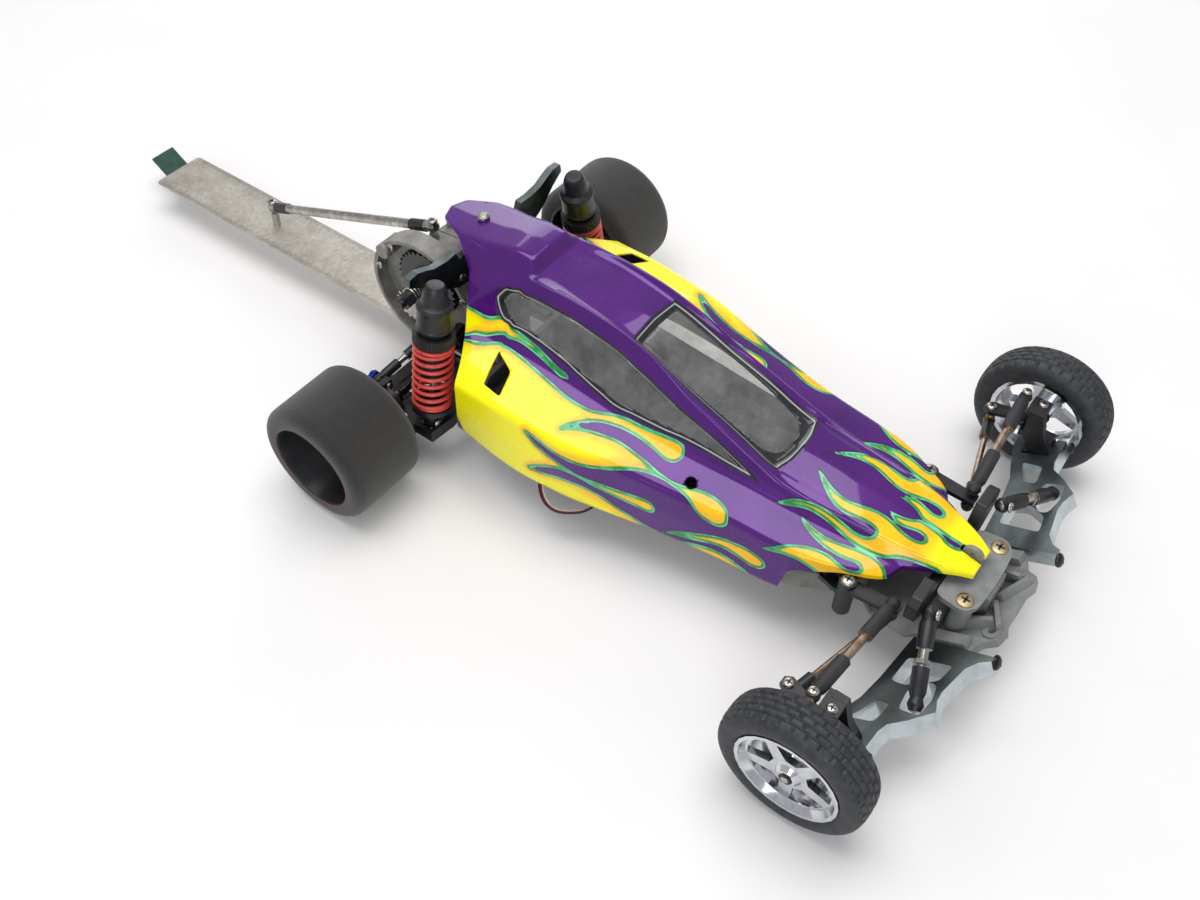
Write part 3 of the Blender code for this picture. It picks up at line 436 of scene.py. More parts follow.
def moulded(name, light, dark, rough=0.5, grain=0.35, depth=0.02, dust=None):
    """Moulded plastic or cast metal: a fine grain, cloudy colour and, if named, pale dust."""
    n = Nodes(name, light)
    tone = n.mix(n.ramp(n.noise(9.0), 0.3, 0.7), dark, light)
    if dust:
        tone = n.mix(n.ramp(n.noise(4.0, 6.0, 0.7), 0.52, 0.75, 0.0, 0.55), tone, dust)
    n.colour(tone)
    fine = n.noise(grain, 2.0)
    n.rough(n.ramp(fine, 0.3, 0.7, rough - 0.07, rough + 0.07))
    n.bump(fine, depth)
    return n.material


def metal(name, light, dark, rough=0.3, brushed=None, depth=0.01, patch=6.0):
    """Bare or anodised metal with cloudy tarnish and, if a stretch is given, a brushed direction."""
    n = Nodes(name, light)
    n.set(Metallic=1.0)
    n.colour(n.mix(n.ramp(n.noise(patch, 5.0, 0.65), 0.35, 0.68), dark, light))
    lines = n.noise(0.5, 3.0, 0.6, brushed) if brushed else n.noise(0.4, 2.0)
    n.rough(n.ramp(lines, 0.3, 0.7, rough - 0.06, rough + 0.08))
    n.bump(lines, depth)
    return n.material


def make_materials():
    mats = {
        "black": moulded("black_nylon", srgb("1d1e21"), srgb("101113"), 0.4, dust=srgb("38383b")),
        "soft_black": moulded("soft_black_sleeve", srgb("2b2b2e"), srgb("1e1e20"), 0.62),
        "deep_black": moulded("deep_black", srgb("1b1c1e"), srgb("111214"), 0.5),
        "grey": moulded("grey_nylon", srgb("8b8c8b"), srgb("727373"), 0.5, depth=0.015),
        "warm_grey": moulded("warm_grey_nylon", srgb("8d8b86"), srgb("6f6d68"), 0.52, dust=srgb("a19a8c")),
        "arm_top": metal("grey_green_anodised", srgb("6b7272"), srgb("555c5c"), 0.4, patch=14.0),
        "arm_cut": metal("machined_edge", srgb("c6cdd0"), srgb("b0b8bb"), 0.26, (1, 1, 14)),
        "tower": metal("dark_anodised", srgb("4c5759"), srgb("343c3e"), 0.4),
        "steel": metal("screw_steel", srgb("c9c5bd"), srgb("8e8a83"), 0.28),
        "old_steel": metal("stained_rod", srgb("b3a595"), srgb("7c5c45"), 0.35, patch=5.0),
        "brass": metal("brass_ball", srgb("b08a4c"), srgb("7a5c30"), 0.32),
        "chrome": metal("chrome_rim", srgb("dfe1e4"), srgb("c4c7cc"), 0.12, depth=0.003),
        "blue_nut": metal("blue_nut", srgb("2f56c8"), srgb("1d3a97"), 0.3),
        "dark_steel": metal("black_steel", srgb("4a4744"), srgb("2b2927"), 0.35),
        "red": red_spring(),
        "ruler": ruler_steel(),
        "green": moulded("green_strip_coat", srgb("1f4a3c"), srgb("143528"), 0.55),
        "sleeve": moulded("battery_wrap", srgb("1d2b5e"), srgb("131b3c"), 0.35, dust=srgb("4b4f60")),
        "tan": moulded("tan_plug", srgb("a8845c"), srgb("86633f"), 0.5),
        "screw_tan": metal("yellowed_screw", srgb("c2ad8a"), srgb("9a8460"), 0.34),
        "foam": foam_rubber(),
        "tyre": tread_rubber(),
        "rim_line": moulded("rim_edge_line", srgb("7a4f48"), srgb("5c3b36"), 0.5),
        "white_wire": moulded("white_wire", srgb("e8e6e2"), srgb("cfccc6"), 0.45),
        "red_wire": moulded("red_wire", srgb("b3202a"), srgb("8e1820"), 0.45),
    }
    return mats


def red_spring():
    """Powder-coated spring wire, darker where it is scuffed."""
    n = Nodes("red_spring_coat", srgb("d8503f"))
    scuffs = n.ramp(n.noise(1.6, 5.0, 0.7), 0.5, 0.72)
    n.colour(n.mix(scuffs, srgb("d9473a"), srgb("a02c25")))
    n.rough(n.ramp(n.noise(0.5), 0.3, 0.7, 0.24, 0.42))
    n.set(Coat_Weight=0.3, Coat_Roughness=0.2)
    return n.material


def ruler_steel():
    """Worn steel rule: brushed across, with brown stains and rubbed patches."""
    n = Nodes("ruler_steel", srgb("b5aca1"))
    n.set(Metallic=0.85)
    stains = n.ramp(n.noise(14.0, 7.0, 0.72), 0.42, 0.7)
    specks = n.ramp(n.noise(1.3, 4.0, 0.7), 0.55, 0.72)
    tone = n.mix(stains, srgb("c9c5bb"), srgb("aba397"))
    n.colour(n.mix(specks, tone, srgb("8f877b")))
    lines = n.noise(0.45, 4.0, 0.6, (1, 12, 1))
    n.rough(n.ramp(lines, 0.3, 0.7, 0.38, 0.52))
    n.bump(lines, 0.015)
    return n.material


def foam_rubber():
    """Open-cell foam tyre: fine pores with pale specks of dust between them."""
    n = Nodes("foam_rubber", srgb("232120"))
    pores = n.add("ShaderNodeTexVoronoi")
    pores.inputs["Scale"].default_value = 1.0 / (0.7 * MM)
    n.join(n.place, pores.inputs["Vector"])
    pits = pores.outputs["Distance"]
    cloud = n.ramp(n.noise(7.0, 5.0, 0.6), 0.35, 0.7)
    tone = n.mix(cloud, srgb("1a1817"), srgb("242120"))
    dust = n.ramp(n.noise(0.8, 4.0, 0.7), 0.6, 0.75, 0.0, 0.5)
    n.colour(n.mix(dust, tone, srgb("4a4541")))
    n.set(Roughness=0.92, Sheen_Weight=0.25, Sheen_Roughness=0.6)
    n.bump(pits, 0.22)
    return n.material


def tread_rubber():
    n = Nodes("tread_rubber", srgb("2c2e31"))
    wear = n.ramp(n.noise(5.0, 5.0, 0.65), 0.4, 0.72)
    tone = n.mix(wear, srgb("242629"), srgb("3a3c40"))
    dust = n.ramp(n.noise(1.0, 5.0, 0.7), 0.62, 0.78, 0.0, 0.4)
    n.colour(n.mix(dust, tone, srgb("5c5c5c")))
    n.rough(n.ramp(n.noise(0.5), 0.3, 0.7, 0.5, 0.68))
    n.bump(n.noise(0.4), 0.03)
    return n.material


MAT = make_materials()


# ---------------------------------------------------------------- floor, lights and camera

def make_stage():
    """A flat pale floor under the car."""
    n = Nodes("floor_white", srgb("efeceb"))
    n.colour(n.mix(n.ramp(n.noise(160.0, 3.0), 0.3, 0.7), srgb("eceae9"), srgb("f1efee")))
    n.set(Roughness=0.5, Specular_IOR_Level=0.3)
    n.bump(n.noise(60.0, 2.0), 0.05)
    bm = bmesh.new()
    bmesh.ops.create_grid(bm, x_segments=24, y_segments=24, size=3.0)
    mesh = bpy.data.meshes.new("floor")
    bm.to_mesh(mesh)
    bm.free()
    mesh.materials.append(n.material)
    link_object("floor", mesh)


def make_lamp(name, place, target, size, power, colour=(1.0, 1.0, 1.0)):
    lamp = bpy.data.lights.new(name, "AREA")
    lamp.shape = "RECTANGLE"
    lamp.size, lamp.size_y = size
    lamp.energy = power
    lamp.color = colour
    obj = link_object(name, lamp)
    obj.location = place
    obj.rotation_mode = "QUATERNION"
    obj.rotation_quaternion = (Vector(target) - Vector(place)).to_track_quat("-Z", "Y")


def make_lights():
    make_lamp("ceiling_panel", (0.1, 0.1, 1.7), (0, 0, 0), (1.6, 1.1), 20.0, (1.0, 0.985, 0.97))
    make_lamp("window_side", (-1.5, -0.8, 1.0), (0, 0, 0.05), (1.0, 0.9), 9.0, (0.95, 0.98, 1.0))
    make_lamp("fill_side", (1.5, 0.9, 0.9), (0, 0, 0.05), (1.2, 0.9), 8.0)
    world = bpy.data.worlds.new("studio")
    bpy.context.scene.world = world
    world.use_nodes = True
    sky = world.node_tree.nodes["Background"]
    sky.inputs["Color"].default_value = (0.93, 0.95, 1.0, 1.0)
    sky.inputs["Strength"].default_value = 0.52


def make_camera():
    """The camera of the photograph, turned by three angles, and a plain view transform."""
    a, e, r = (math.radians(v) for v in (CAMERA_AZIMUTH, CAMERA_ELEVATION, CAMERA_ROLL))
    back = Vector((math.sin(a) * math.cos(e), -math.cos(a) * math.cos(e), math.sin(e)))
    right = Vector((math.cos(a), math.sin(a), 0.0))
    up = back.cross(right)
    rolled_right = right * math.cos(r) + up * math.sin(r)
    rolled_up = up * math.cos(r) - right * math.sin(r)
    data = bpy.data.cameras.new("camera")
    data.lens = CAMERA_LENS
    data.sensor_width = 36.0
    data.clip_start, data.clip_end = 0.01, 20.0
    obj = link_object("camera", data)
    turn = Matrix((rolled_right, rolled_up, back)).transposed().to_4x4()
    obj.matrix_world = Matrix.Translation(at(*CAMERA_AT)) @ turn
    bpy.context.scene.camera = obj
    bpy.context.scene.view_settings.view_transform = "Standard"


make_stage()
make_lights()
make_camera()


# ---------------------------------------------------------------- servo lead

LEAD_ROUTE = [(-46.3, 190, 36.5), (-52, 192, 37.6), (-58, 193, 37.8), (-62.5, 193, 34.5), (-66, 191.5, 29),
              (-70, 188.5, 24.5), (-73, 184.5, 21.5), (-74.6, 179.5, 20), (-74.2, 174, 19.6),
              (-71.8, 168, 20.6), (-68.5, 162, 23), (-65, 157.5, 27.5), (-61.5, 155, 33.5),
              (-57, 154.2, 37.6), (-52, 155, 37.9), (-46.3, 157, 36.5)]


def make_servo_lead():
    """Flat three-wire lead that loops out under the body's right edge and goes back in."""
    points = smooth_route(LEAD_ROUTE, 4)
    wires = []
    colours = (MAT["white_wire"], MAT["red_wire"], MAT["deep_black"])
    for index, offset in enumerate((-1.0, 0.0, 1.0)):
        section = [(offset + 0.52 * math.cos(a), 0.52 * math.sin(a))
                   for a in (2 * math.pi * i / 10 for i in range(10))]
        wires.append(with_material(swept(points, section, up=(0.3, 0.2, 1.0)), index))
    lead = add_piece("servo_lead_ribbon", join_meshes(wires), "chassis", colours, ("servo_lead",))


# ---------------------------------------------------------------- body shell

# Each feature line runs from the nose to the tail: (y, half width x, height z).
BODY_LINES = {
    "centre": [(-20.6, 0, 55.7), (-17, 0, 56.7), (4, 0, 61.0), (26, 0, 63.4), (50, 0, 66.4), (76, 0, 69.4),
               (100, 0, 78.6), (130, 0, 89.9), (165, 0, 102.5), (176, 0, 105.2), (190, 0, 107.2),
               (212, 0, 109.0), (229.5, 0, 110.6), (235, 0, 117.8), (243, 0, 118.3), (264, 0, 115.0),
               (284, 0, 112.4), (303, 0, 110.4)],
    "deck": [(-20.6, 6.6, 55.4), (-12, 9.6, 57.5), (4, 13.0, 60.4), (26, 18.2, 62.4), (50, 19.6, 64.8),
             (82, 20.3, 68.6), (110, 19.8, 79.8), (130, 19.3, 87.2), (168, 18.0, 102.1),
             (200, 17.6, 108.2), (229.5, 13.2, 110.4), (235, 13.6, 117.3), (243, 14.1, 117.7),
             (264, 15.4, 114.3), (284, 15.2, 111.8), (299.5, 9.5, 110.4)],
    "ridge": [(-20.6, 8.2, 55.1), (-12, 12.0, 57.4), (0, 16.2, 59.5), (12, 19.0, 61.4), (34, 21.8, 63.6),
              (60, 24.4, 64.8), (74, 25.2, 66.8), (88, 24.6, 71.8), (110, 23.8, 80.5), (130, 22.8, 88.6),
              (157, 20.6, 102.6), (181, 20.3, 108.9), (206, 20.2, 111.2), (223, 20.8, 110.9),
              (245, 20.4, 110.0), (258, 18.0, 111.2), (270, 17.6, 112.0), (283.5, 16.8, 111.3)],
    "glass": [(-20.6, 8.6, 54.6), (-12, 13.2, 56.2), (4, 18.8, 57.6), (12, 21.2, 58.8), (26, 23.0, 59.6),
              (42, 24.8, 60.4), (60, 26.6, 61.2), (82, 27.0, 65.6), (110, 26.2, 75.8), (130, 25.2, 83.6),
              (157, 23.4, 97.3), (181, 23.4, 103.6), (206, 23.9, 106.0), (225, 25.0, 105.0),
              (245, 27.0, 103.0), (268, 26.5, 101.5)],
    "belt": [(-20.6, 8.8, 54.1), (-12, 13.6, 55.6), (-1, 19.0, 54.8), (8.6, 24.0, 54.8), (12, 24.6, 55.2),
             (26, 26.0, 55.6), (40, 27.6, 56.4), (60, 29.5, 57.6), (93, 32.3, 61.4), (123, 36.1, 65.1),
             (149, 38.9, 69.9), (163, 40.2, 72.9), (188, 41.0, 76.9), (210, 41.2, 79.7), (239, 43.0, 82.0),
             (255, 46.5, 83.0)],
    "pod": [(-20.6, 8.9, 53.6), (-12, 13.8, 55.1), (-1, 19.2, 54.3), (8.6, 24.3, 54.2), (12, 27.8, 53.8),
            (27.6, 33.0, 54.9), (41, 36.8, 56.0), (60, 39.4, 57.0), (93, 42.8, 60.0), (123, 47.2, 63.0),
            (149, 51.2, 67.0), (175, 55.4, 71.0), (195, 56.4, 73.0), (223, 57.4, 75.8), (247, 59.5, 76.5)],
    "shoulder": [(-20.6, 9.0, 53.2), (-12, 13.9, 54.7), (-1, 19.3, 53.8), (8.6, 24.5, 53.6),
                 (12, 31.0, 52.0), (27.6, 40.0, 53.5), (41, 45.6, 54.8), (60, 49.3, 55.4), (87, 52.0, 57.0),
                 (107, 55.2, 58.4), (143.5, 62.0, 62.4), (175, 69.0, 65.6), (195, 70.8, 67.0),
                 (223, 72.0, 69.2), (242, 71.9, 69.4)],
    "flank": [(-20.6, 9.1, 52.8), (-12, 14.0, 54.3), (-1, 19.4, 53.4), (8.6, 24.7, 53.0),
              (12, 31.4, 51.2), (28.8, 40.5, 51.8), (43.6, 46.6, 50.6), (53.5, 49.8, 49.0),
              (55.8, 50.4, 44.0), (87, 53.8, 44.0), (107, 57.2, 44.6), (143.5, 64.2, 46.6),
              (175, 70.8, 48.0), (202, 72.4, 48.6), (244, 70.6, 50.0)],
    "hem": [(-20.6, 9.2, 52.4), (-12, 14.1, 53.9), (-1, 19.5, 53.0), (8.6, 24.9, 52.4),
            (12, 31.8, 50.2), (28.8, 40.8, 50.2), (43.6, 47.2, 46.4), (53.5, 51.0, 42.0),
            (55.8, 52.4, 29.5), (87, 55.6, 29.5), (122, 60.4, 29.5), (150, 66.0, 29.5), (175, 70.4, 29.5),
            (202, 72.2, 29.5), (248, 67.6, 30.0)]}
LINE_ORDER = ("centre", "deck", "ridge", "glass", "belt", "pod", "shoulder", "flank", "hem")
BODY_ROWS = (-20.6, -17, -12, -6, 1, 8.6, 12, 20, 28.8, 36, 43.6, 53.5, 55.8, 64, 76, 86, 98, 112, 128, 146,
             162, 176, 190, 205, 218, 229.5, 235)
# Radius of each line's bend across the body, and how many faces lie between it and the next line.
BEND = {"centre": 0.0, "deck": 2.2, "ridge": 1.6, "glass": 1.6, "belt": 2.4, "pod": 9.0, "shoulder": 3.0,
        "flank": 1.6, "hem": 0.0}
STRIPS = {"centre": 9, "deck": 3, "ridge": 3, "glass": 14, "belt": 7, "pod": 8, "shoulder": 12, "flank": 10}
BEND_STEPS = 4
ROW_STEP = 1.3
TAIL_STEPS = 44
SHELL_WALL = 1.0


def line_slopes(t, v):
    """Slopes of a curve through a line's knots that never overshoots them."""
    gaps = np.diff(t)
    rises = np.diff(v) / gaps
    slopes = np.zeros(len(t))
    slopes[0], slopes[-1] = rises[0], rises[-1]
    for i in range(1, len(t) - 1):
        if rises[i - 1] * rises[i] > 0:
            w1, w2 = 2 * gaps[i] + gaps[i - 1], gaps[i] + 2 * gaps[i - 1]
            slopes[i] = (w1 + w2) / (w1 / rises[i - 1] + w2 / rises[i])
    return slopes


def smooth_lines():
    curves = {}
    for name, knots in BODY_LINES.items():
        k = np.array(knots, float)
        curves[name] = (k, line_slopes(k[:, 0], k[:, 1]), line_slopes(k[:, 0], k[:, 2]))
    return curves


SMOOTH_LINES = smooth_lines()


def on_line(name, y):
    """Half width and height of a feature line at a distance behind the front axle."""
    knots, x_slopes, z_slopes = SMOOTH_LINES[name]
    t = knots[:, 0]
    y = min(max(y, t[0]), t[-1])
    i = min(max(int(np.searchsorted(t, y)) - 1, 0), len(t) - 2)
    gap = t[i + 1] - t[i]
    u = (y - t[i]) / gap
    a, b = 2 * u ** 3 - 3 * u ** 2 + 1, (u ** 3 - 2 * u ** 2 + u) * gap
    c, d = 1 - a, (u ** 3 - u ** 2) * gap
    x = a * knots[i, 1] + b * x_slopes[i] + c * knots[i + 1, 1] + d * x_slopes[i + 1]
    z = a * knots[i, 2] + b * z_slopes[i] + c * knots[i + 1, 2] + d * z_slopes[i + 1]
    return x, z


def shell_stations():
    """For each row across the shell, how far back each feature line is."""
    rows = []
    for first, second in zip(BODY_ROWS, BODY_ROWS[1:]):
        count = max(2, math.ceil((second - first) / ROW_STEP))
        rows += [dict.fromkeys(LINE_ORDER, first + (second - first) * i / count) for i in range(count)]
    last = BODY_ROWS[-1]
    for i in range(TAIL_STEPS + 1):
        rows.append({name: last + (BODY_LINES[name][-1][0] - last) * i / TAIL_STEPS for name in LINE_ORDER})
    return rows


def half_row(station):
    """Points from the middle of the shell out to its hem, with each line's bend rounded."""
    knots = []
    for name in LINE_ORDER:
        x, z = on_line(name, station[name])
        knots.append(Vector((x, station[name], z)))
    starts, ends = [], []
    for k, name in enumerate(LINE_ORDER):
        before = knots[max(k - 1, 0)] - knots[k]
        after = knots[min(k + 1, len(knots) - 1)] - knots[k]
        starts.append(knots[k] + before.normalized() * min(BEND[name], 0.45 * before.length))
        ends.append(knots[k] + after.normalized() * min(BEND[name], 0.45 * after.length))
    points = []
    for k, name in enumerate(LINE_ORDER):
        if 0 < k < len(knots) - 1:
            for i in range(BEND_STEPS + 1):
                t = i / BEND_STEPS
                points.append(starts[k] * (1 - t) ** 2 + knots[k] * 2 * t * (1 - t) + ends[k] * t ** 2)
        else:
            points.append(knots[k])
        if name in STRIPS:
            count = STRIPS[name]
            points += [ends[k].lerp(starts[k + 1], i / count) for i in range(1, count)]
    return points


# Flames, on the shell laid out flat: (distance behind the front axle, distance out from the middle).
# They are the same on both sides.  In each closed outline the tips are its sharp corners.
NOSE_FLAME = [
    (-40, -9), (-40, 34), (-14, 24), (-7, 19.5), (-3, 19.9), (2, 21.2), (7, 22.8), (12, 25.0), (16, 27.8),
    (20, 29.5), (25, 30.8), (31, 31.3), (37, 30.8), (43, 29.5), (49, 28.5), (55, 28.2), (60, 28.9),
    (65, 30.9), (70, 33.2), (74.5, 34.8), (71, 31.2), (67, 27.8), (62.5, 25.6), (57.5, 24.3), (52, 23.7),
    (46, 24.0), (40, 24.9), (35, 25.6), (30.5, 25.2), (27.5, 23.6), (26.2, 21.4), (26.8, 19.4), (29, 18.3),
    (33, 18.1), (38, 19.0), (43, 19.6), (48, 19.2), (53, 17.4), (57, 14.7), (61, 11.4), (64, 8.6),
    (66.8, 6.0), (63, 7.4), (59, 9.4), (55, 11.3), (50, 12.6), (45, 12.7), (40, 11.6), (35, 10.0),
    (30, 9.0), (25, 9.2), (21, 10.2), (17, 11.4), (13, 12.0), (9.5, 11.9), (6.8, 10.8), (6.0, 9.2),
    (7.2, 7.7), (10, 7.2), (13, 7.9), (17, 9.1), (20.5, 9.2), (24, 7.8), (27.4, 5.4), (23.5, 4.9),
    (19.5, 4.2), (16, 2.6), (13.5, 0.9), (11.8, 0.25), (10.5, -1.5), (-5, -9)]
POD_TONGUE = [
    (6, 44), (11.5, 36.2), (13.5, 33.4), (16.5, 31.6), (20, 30.9), (25, 31.2), (30, 32.2), (35, 33.6),
    (40, 34.9), (45, 35.4), (50, 35.1), (55, 34.0), (61, 32.6), (57, 35.8), (53, 38.0), (48, 39.9),
    (42, 41.0), (36, 41.0), (31, 40.2), (27.5, 39.1), (24.8, 39.0), (23.6, 40.4), (25.2, 42.6),
    (28.5, 43.9), (33, 43.8), (38, 43.1), (43, 43.4), (48, 44.7), (53, 47.0), (58, 50.4), (62.5, 54.4),
    (68.8, 60.2), (63, 58.0), (57, 55.6), (51, 54.3), (46, 54.6), (40, 56.6), (30, 60), (10, 60)]
LOW_LICKS = [
    # the long lick along the hem, from its blunt front end to where it joins the rear flames
    [(63.6, 69.6), (65.4, 66.9), (70, 65.5), (76, 65.7), (82, 67.6), (88, 70.4), (94, 74.2), (100, 78.8),
     (106, 83.6), (112, 89.0), (119.8, 97.4), (113, 92.6), (106, 88.2), (99, 83.6), (92, 79.0), (85, 75.8),
     (78, 74.6), (71, 74.8), (66, 73.0)],
    [(66, 86), (70, 80.6), (78, 79.2), (86, 80.2), (92, 82.4), (98, 85.6), (104, 89.6), (110, 94.2),
     (117, 100.5), (110, 108), (66, 108)]]
# Round the pod's front drop, over the deck to the belt, back along the belt line and round the flank's licks.
REAR_FLAME = [
    (87.0, 59.6), (88.4, 55.8), (92, 53.6), (97, 53.2), (103, 54.4), (109, 57.0), (115, 60.2), (121, 62.4),
    (128, 63.1), (136, 64.0), (144, 66.0), (152, 68.2), (160, 70.8), (168, 74.2), (175, 78.0), (180, 81.4),
    (176, 76.6), (171, 71.6), (166, 67.6), (160, 64.6), (152, 61.8), (144, 59.0), (136, 57.2), (129, 56.6),
    (125, 54.4), (123.2, 51.0), (123.4, 47.0), (125.4, 43.9), (130, 44.6), (137, 47.8), (144, 51.6),
    (151, 55.0), (158, 57.2), (164, 59.8), (169, 63.0), (174, 65.4), (180, 66.2), (187, 66.0),
    (194, 64.9), (202, 63.2), (210, 61.2), (218, 59.2), (226, 57.6), (231, 57.4), (236, 60.4),
    (240, 64.2), (243.5, 69.2), (246.5, 75.2), (249, 80.0), (253.5, 86.0), (262, 96), (262, 140),
    (150, 140), (130, 122), (124, 108), (120.0, 97.6), (124.5, 99.6), (130, 100.6), (137, 101.8),
    (144, 103.6), (152, 104.9), (160, 106.0), (168, 108.8), (176, 112.2), (184, 115.4), (194, 118.6),
    (186, 112.0), (178, 107.0), (170, 103.6), (162, 101.8), (154, 100.6), (147, 98.0), (140, 94.6),
    (133, 91.4), (127, 89.2), (124, 86.6), (123.4, 83.4), (126, 81.4), (130, 82.4), (136, 85.6),
    (143, 90.2), (150, 94.6), (157, 98.0), (164, 100.2), (171, 101.4), (178, 101.0), (185, 99.6),
    (191, 97.0), (195.5, 93.4), (189, 94.6), (182, 96.4), (175, 96.8), (168, 95.2), (161, 91.8),
    (154, 87.2), (148, 82.0), (142, 76.0), (136, 70.6), (130, 67.0), (123, 64.6), (115, 63.6),
    (108, 64.0), (102, 66.8), (97, 67.2), (92, 66.0), (88.6, 63.2)]
BELT_TONGUE = [
    (191.5, 58.0), (194, 56.2), (199, 55.4), (206, 53.2), (213, 50.6), (220, 49.0), (228, 47.4), (236, 47.6),
    (241, 49.2), (246, 54.4), (251, 60.0), (256, 64.6), (264, 68.6), (272, 84), (255.6, 84.2), (251, 79.4),
    (247.6, 71.8), (244, 65.6), (240, 60.0), (235, 55.6), (231, 53.4), (225, 52.6), (218, 53.6),
    (210, 55.6), (202, 58.0), (196, 59.2)]
FLAMES = [NOSE_FLAME, POD_TONGUE, REAR_FLAME, BELT_TONGUE] + LOW_LICKS

# Windows, laid out the same way: where the paint ends, and where the clear glass ends.
WINDSCREEN = [(77.4, -4), (77.4, 4), (78.2, 11), (80.0, 17), (82.0, 20.3), (100, 20.2), (130, 19.5),
              (160, 18.6), (169.4, 18.1), (170.0, -0.1), (169.4, -18.1), (160, -18.6), (130, -19.5),
              (100, -20.2), (82.0, -20.3), (80.0, -17), (78.2, -11)]
SIDE_WINDOW = [(84.5, 32.6), (90, 31.2), (100, 30.2), (115, 29.8), (130, 30.2), (142, 31.2), (150, 32.0),
               (160, 31.8), (170, 30.8), (185, 29.8), (200, 28.7), (215, 28.0), (230, 28.0), (235, 29.8),
               (240, 32.2), (243.6, 34.0), (245.6, 37.4), (247.0, 41.4), (245.2, 44.6), (240.6, 48.4),
               (236.5, 49.4), (230, 47.6), (224, 47.6), (214, 49.0), (200, 51.6), (188, 54.4), (178, 56.4),
               (168, 57.4), (160, 56.4), (152, 54.0), (145, 51.0), (137, 47.2), (128, 43.2), (116, 39.8),
               (104, 37.2), (94, 34.9)]
SCREEN_GLASS = [(83.4, -5), (83.4, 5), (84.8, 9.6), (87.4, 13.0), (91.0, 14.8), (97, 15.7), (115, 16.3),
                (140, 16.2), (162, 15.6), (164.6, 15.0), (165.4, 13.4), (165.4, -13.4), (164.6, -15.0),
                (162, -15.6), (140, -16.2), (115, -16.3), (97, -15.7), (91.0, -14.8), (87.4, -13.0),
                (84.8, -9.6)]
SIDE_GLASS = [(97, 33.4), (105, 32.2), (118, 31.6), (130, 31.8), (142, 32.8), (151, 34.0), (160, 33.6),
              (172, 32.4), (185, 31.6), (200, 30.5), (215, 29.9), (228, 30.0), (233, 31.6), (238, 34.2),
              (240.4, 37.0), (241.2, 40.2), (239.0, 42.8), (235.0, 44.8), (229, 43.8), (221, 44.8),
              (210, 46.8), (196, 49.6), (184, 51.6), (174, 52.9), (166, 53.4), (158, 52.2), (150, 49.6),
              (142, 45.8), (133, 41.6), (122, 38.0), (110, 35.6), (102, 34.2)]
VENT = [(232.3, 61.5), (219.8, 68.8), (216.8, 83.3), (228.2, 80.8)]
HOOD_GROOVE = [(27, 20.5), (38, 18.6), (52, 17.4), (66, 17.8), (77, 18.9), (80.4, 20.2), (80.4, 22.4),
               (77, 23.6), (64, 23.8), (50, 23.2), (38, 22.4)]
NOSE_EYE = [(-9.6, -0.5), (-8.0, -2.2), (-5.0, -3.0), (-2.0, -2.6), (0.5, -1.4), (4, -0.9), (11.5, -0.5),
            (11.5, 0.3), (4, -0.2), (0, -0.4), (-4, -0.4), (-7, -0.1)]
PORT = (112.3, -56.3, 3.3)            # round hole in the right side's deck, with its radius


def smooth_closed(outline, steps=5):
    """A closed outline with a smooth curve through its points, except at its sharp corners."""
    points = [Vector(p) for p in outline]
    count = len(points)

    def is_tip(i):
        before = points[i] - points[i - 1]
        after = points[(i + 1) % count] - points[i]
        return before.angle(after, 0.0) > math.radians(62)

    tips = [is_tip(i) for i in range(count)]
    curve = []
    for i in range(count):
        j = (i + 1) % count
        knots = [points[i] if tips[i] else points[i - 1], points[i],
                 points[j], points[j] if tips[j] else points[(j + 1) % count]]
        curve += [catmull(knots, k / steps) for k in range(steps)]
    return np.array([(p.x, p.y) for p in curve])


def distance_to(points, outlines):
    """Distance from flat points to the nearest edge of closed outlines, negative where a point is inside."""
    nearest = np.full(len(points), 1e9)
    inside = np.zeros(len(points), bool)
    x, y = points[:, 0], points[:, 1]
    for outline in outlines:
        for a, b in zip(outline, np.roll(outline, -1, axis=0)):
            edge = b - a
            along = ((x - a[0]) * edge[0] + (y - a[1]) * edge[1]) / max(edge @ edge, 1e-12)
            along = np.clip(along, 0.0, 1.0)
            gap = (x - a[0] - along * edge[0]) ** 2 + (y - a[1] - along * edge[1]) ** 2
            nearest = np.minimum(nearest, gap)
            if a[1] != b[1]:
                inside ^= ((a[1] > y) != (b[1] > y)) & (x < (b[0] - a[0]) * (y - a[1]) / (b[1] - a[1]) + a[0])
    return np.where(inside, -1.0, 1.0) * np.sqrt(nearest)


def smooth_step(values, low, high):
    t = np.clip((values - low) / (high - low), 0.0, 1.0)
    return t * t * (3 - 2 * t)


def shell_grid():
    """The shell's outer skin as rows of points, and each point's place laid out flat."""
    points, flat = [], []
    for station in shell_stations():
        half = half_row(station)
        girth = [0.0]
        for first, second in zip(half, half[1:]):
            girth.append(girth[-1] + (second - first).length)
        row = [Vector((-p.x, p.y, p.z)) for p in reversed(half[1:])] + half
        points.append(row)
        flat.append([(p.y, s) for p, s in zip(row, [-g for g in reversed(girth[1:])] + girth)])
    return points, np.array(flat)


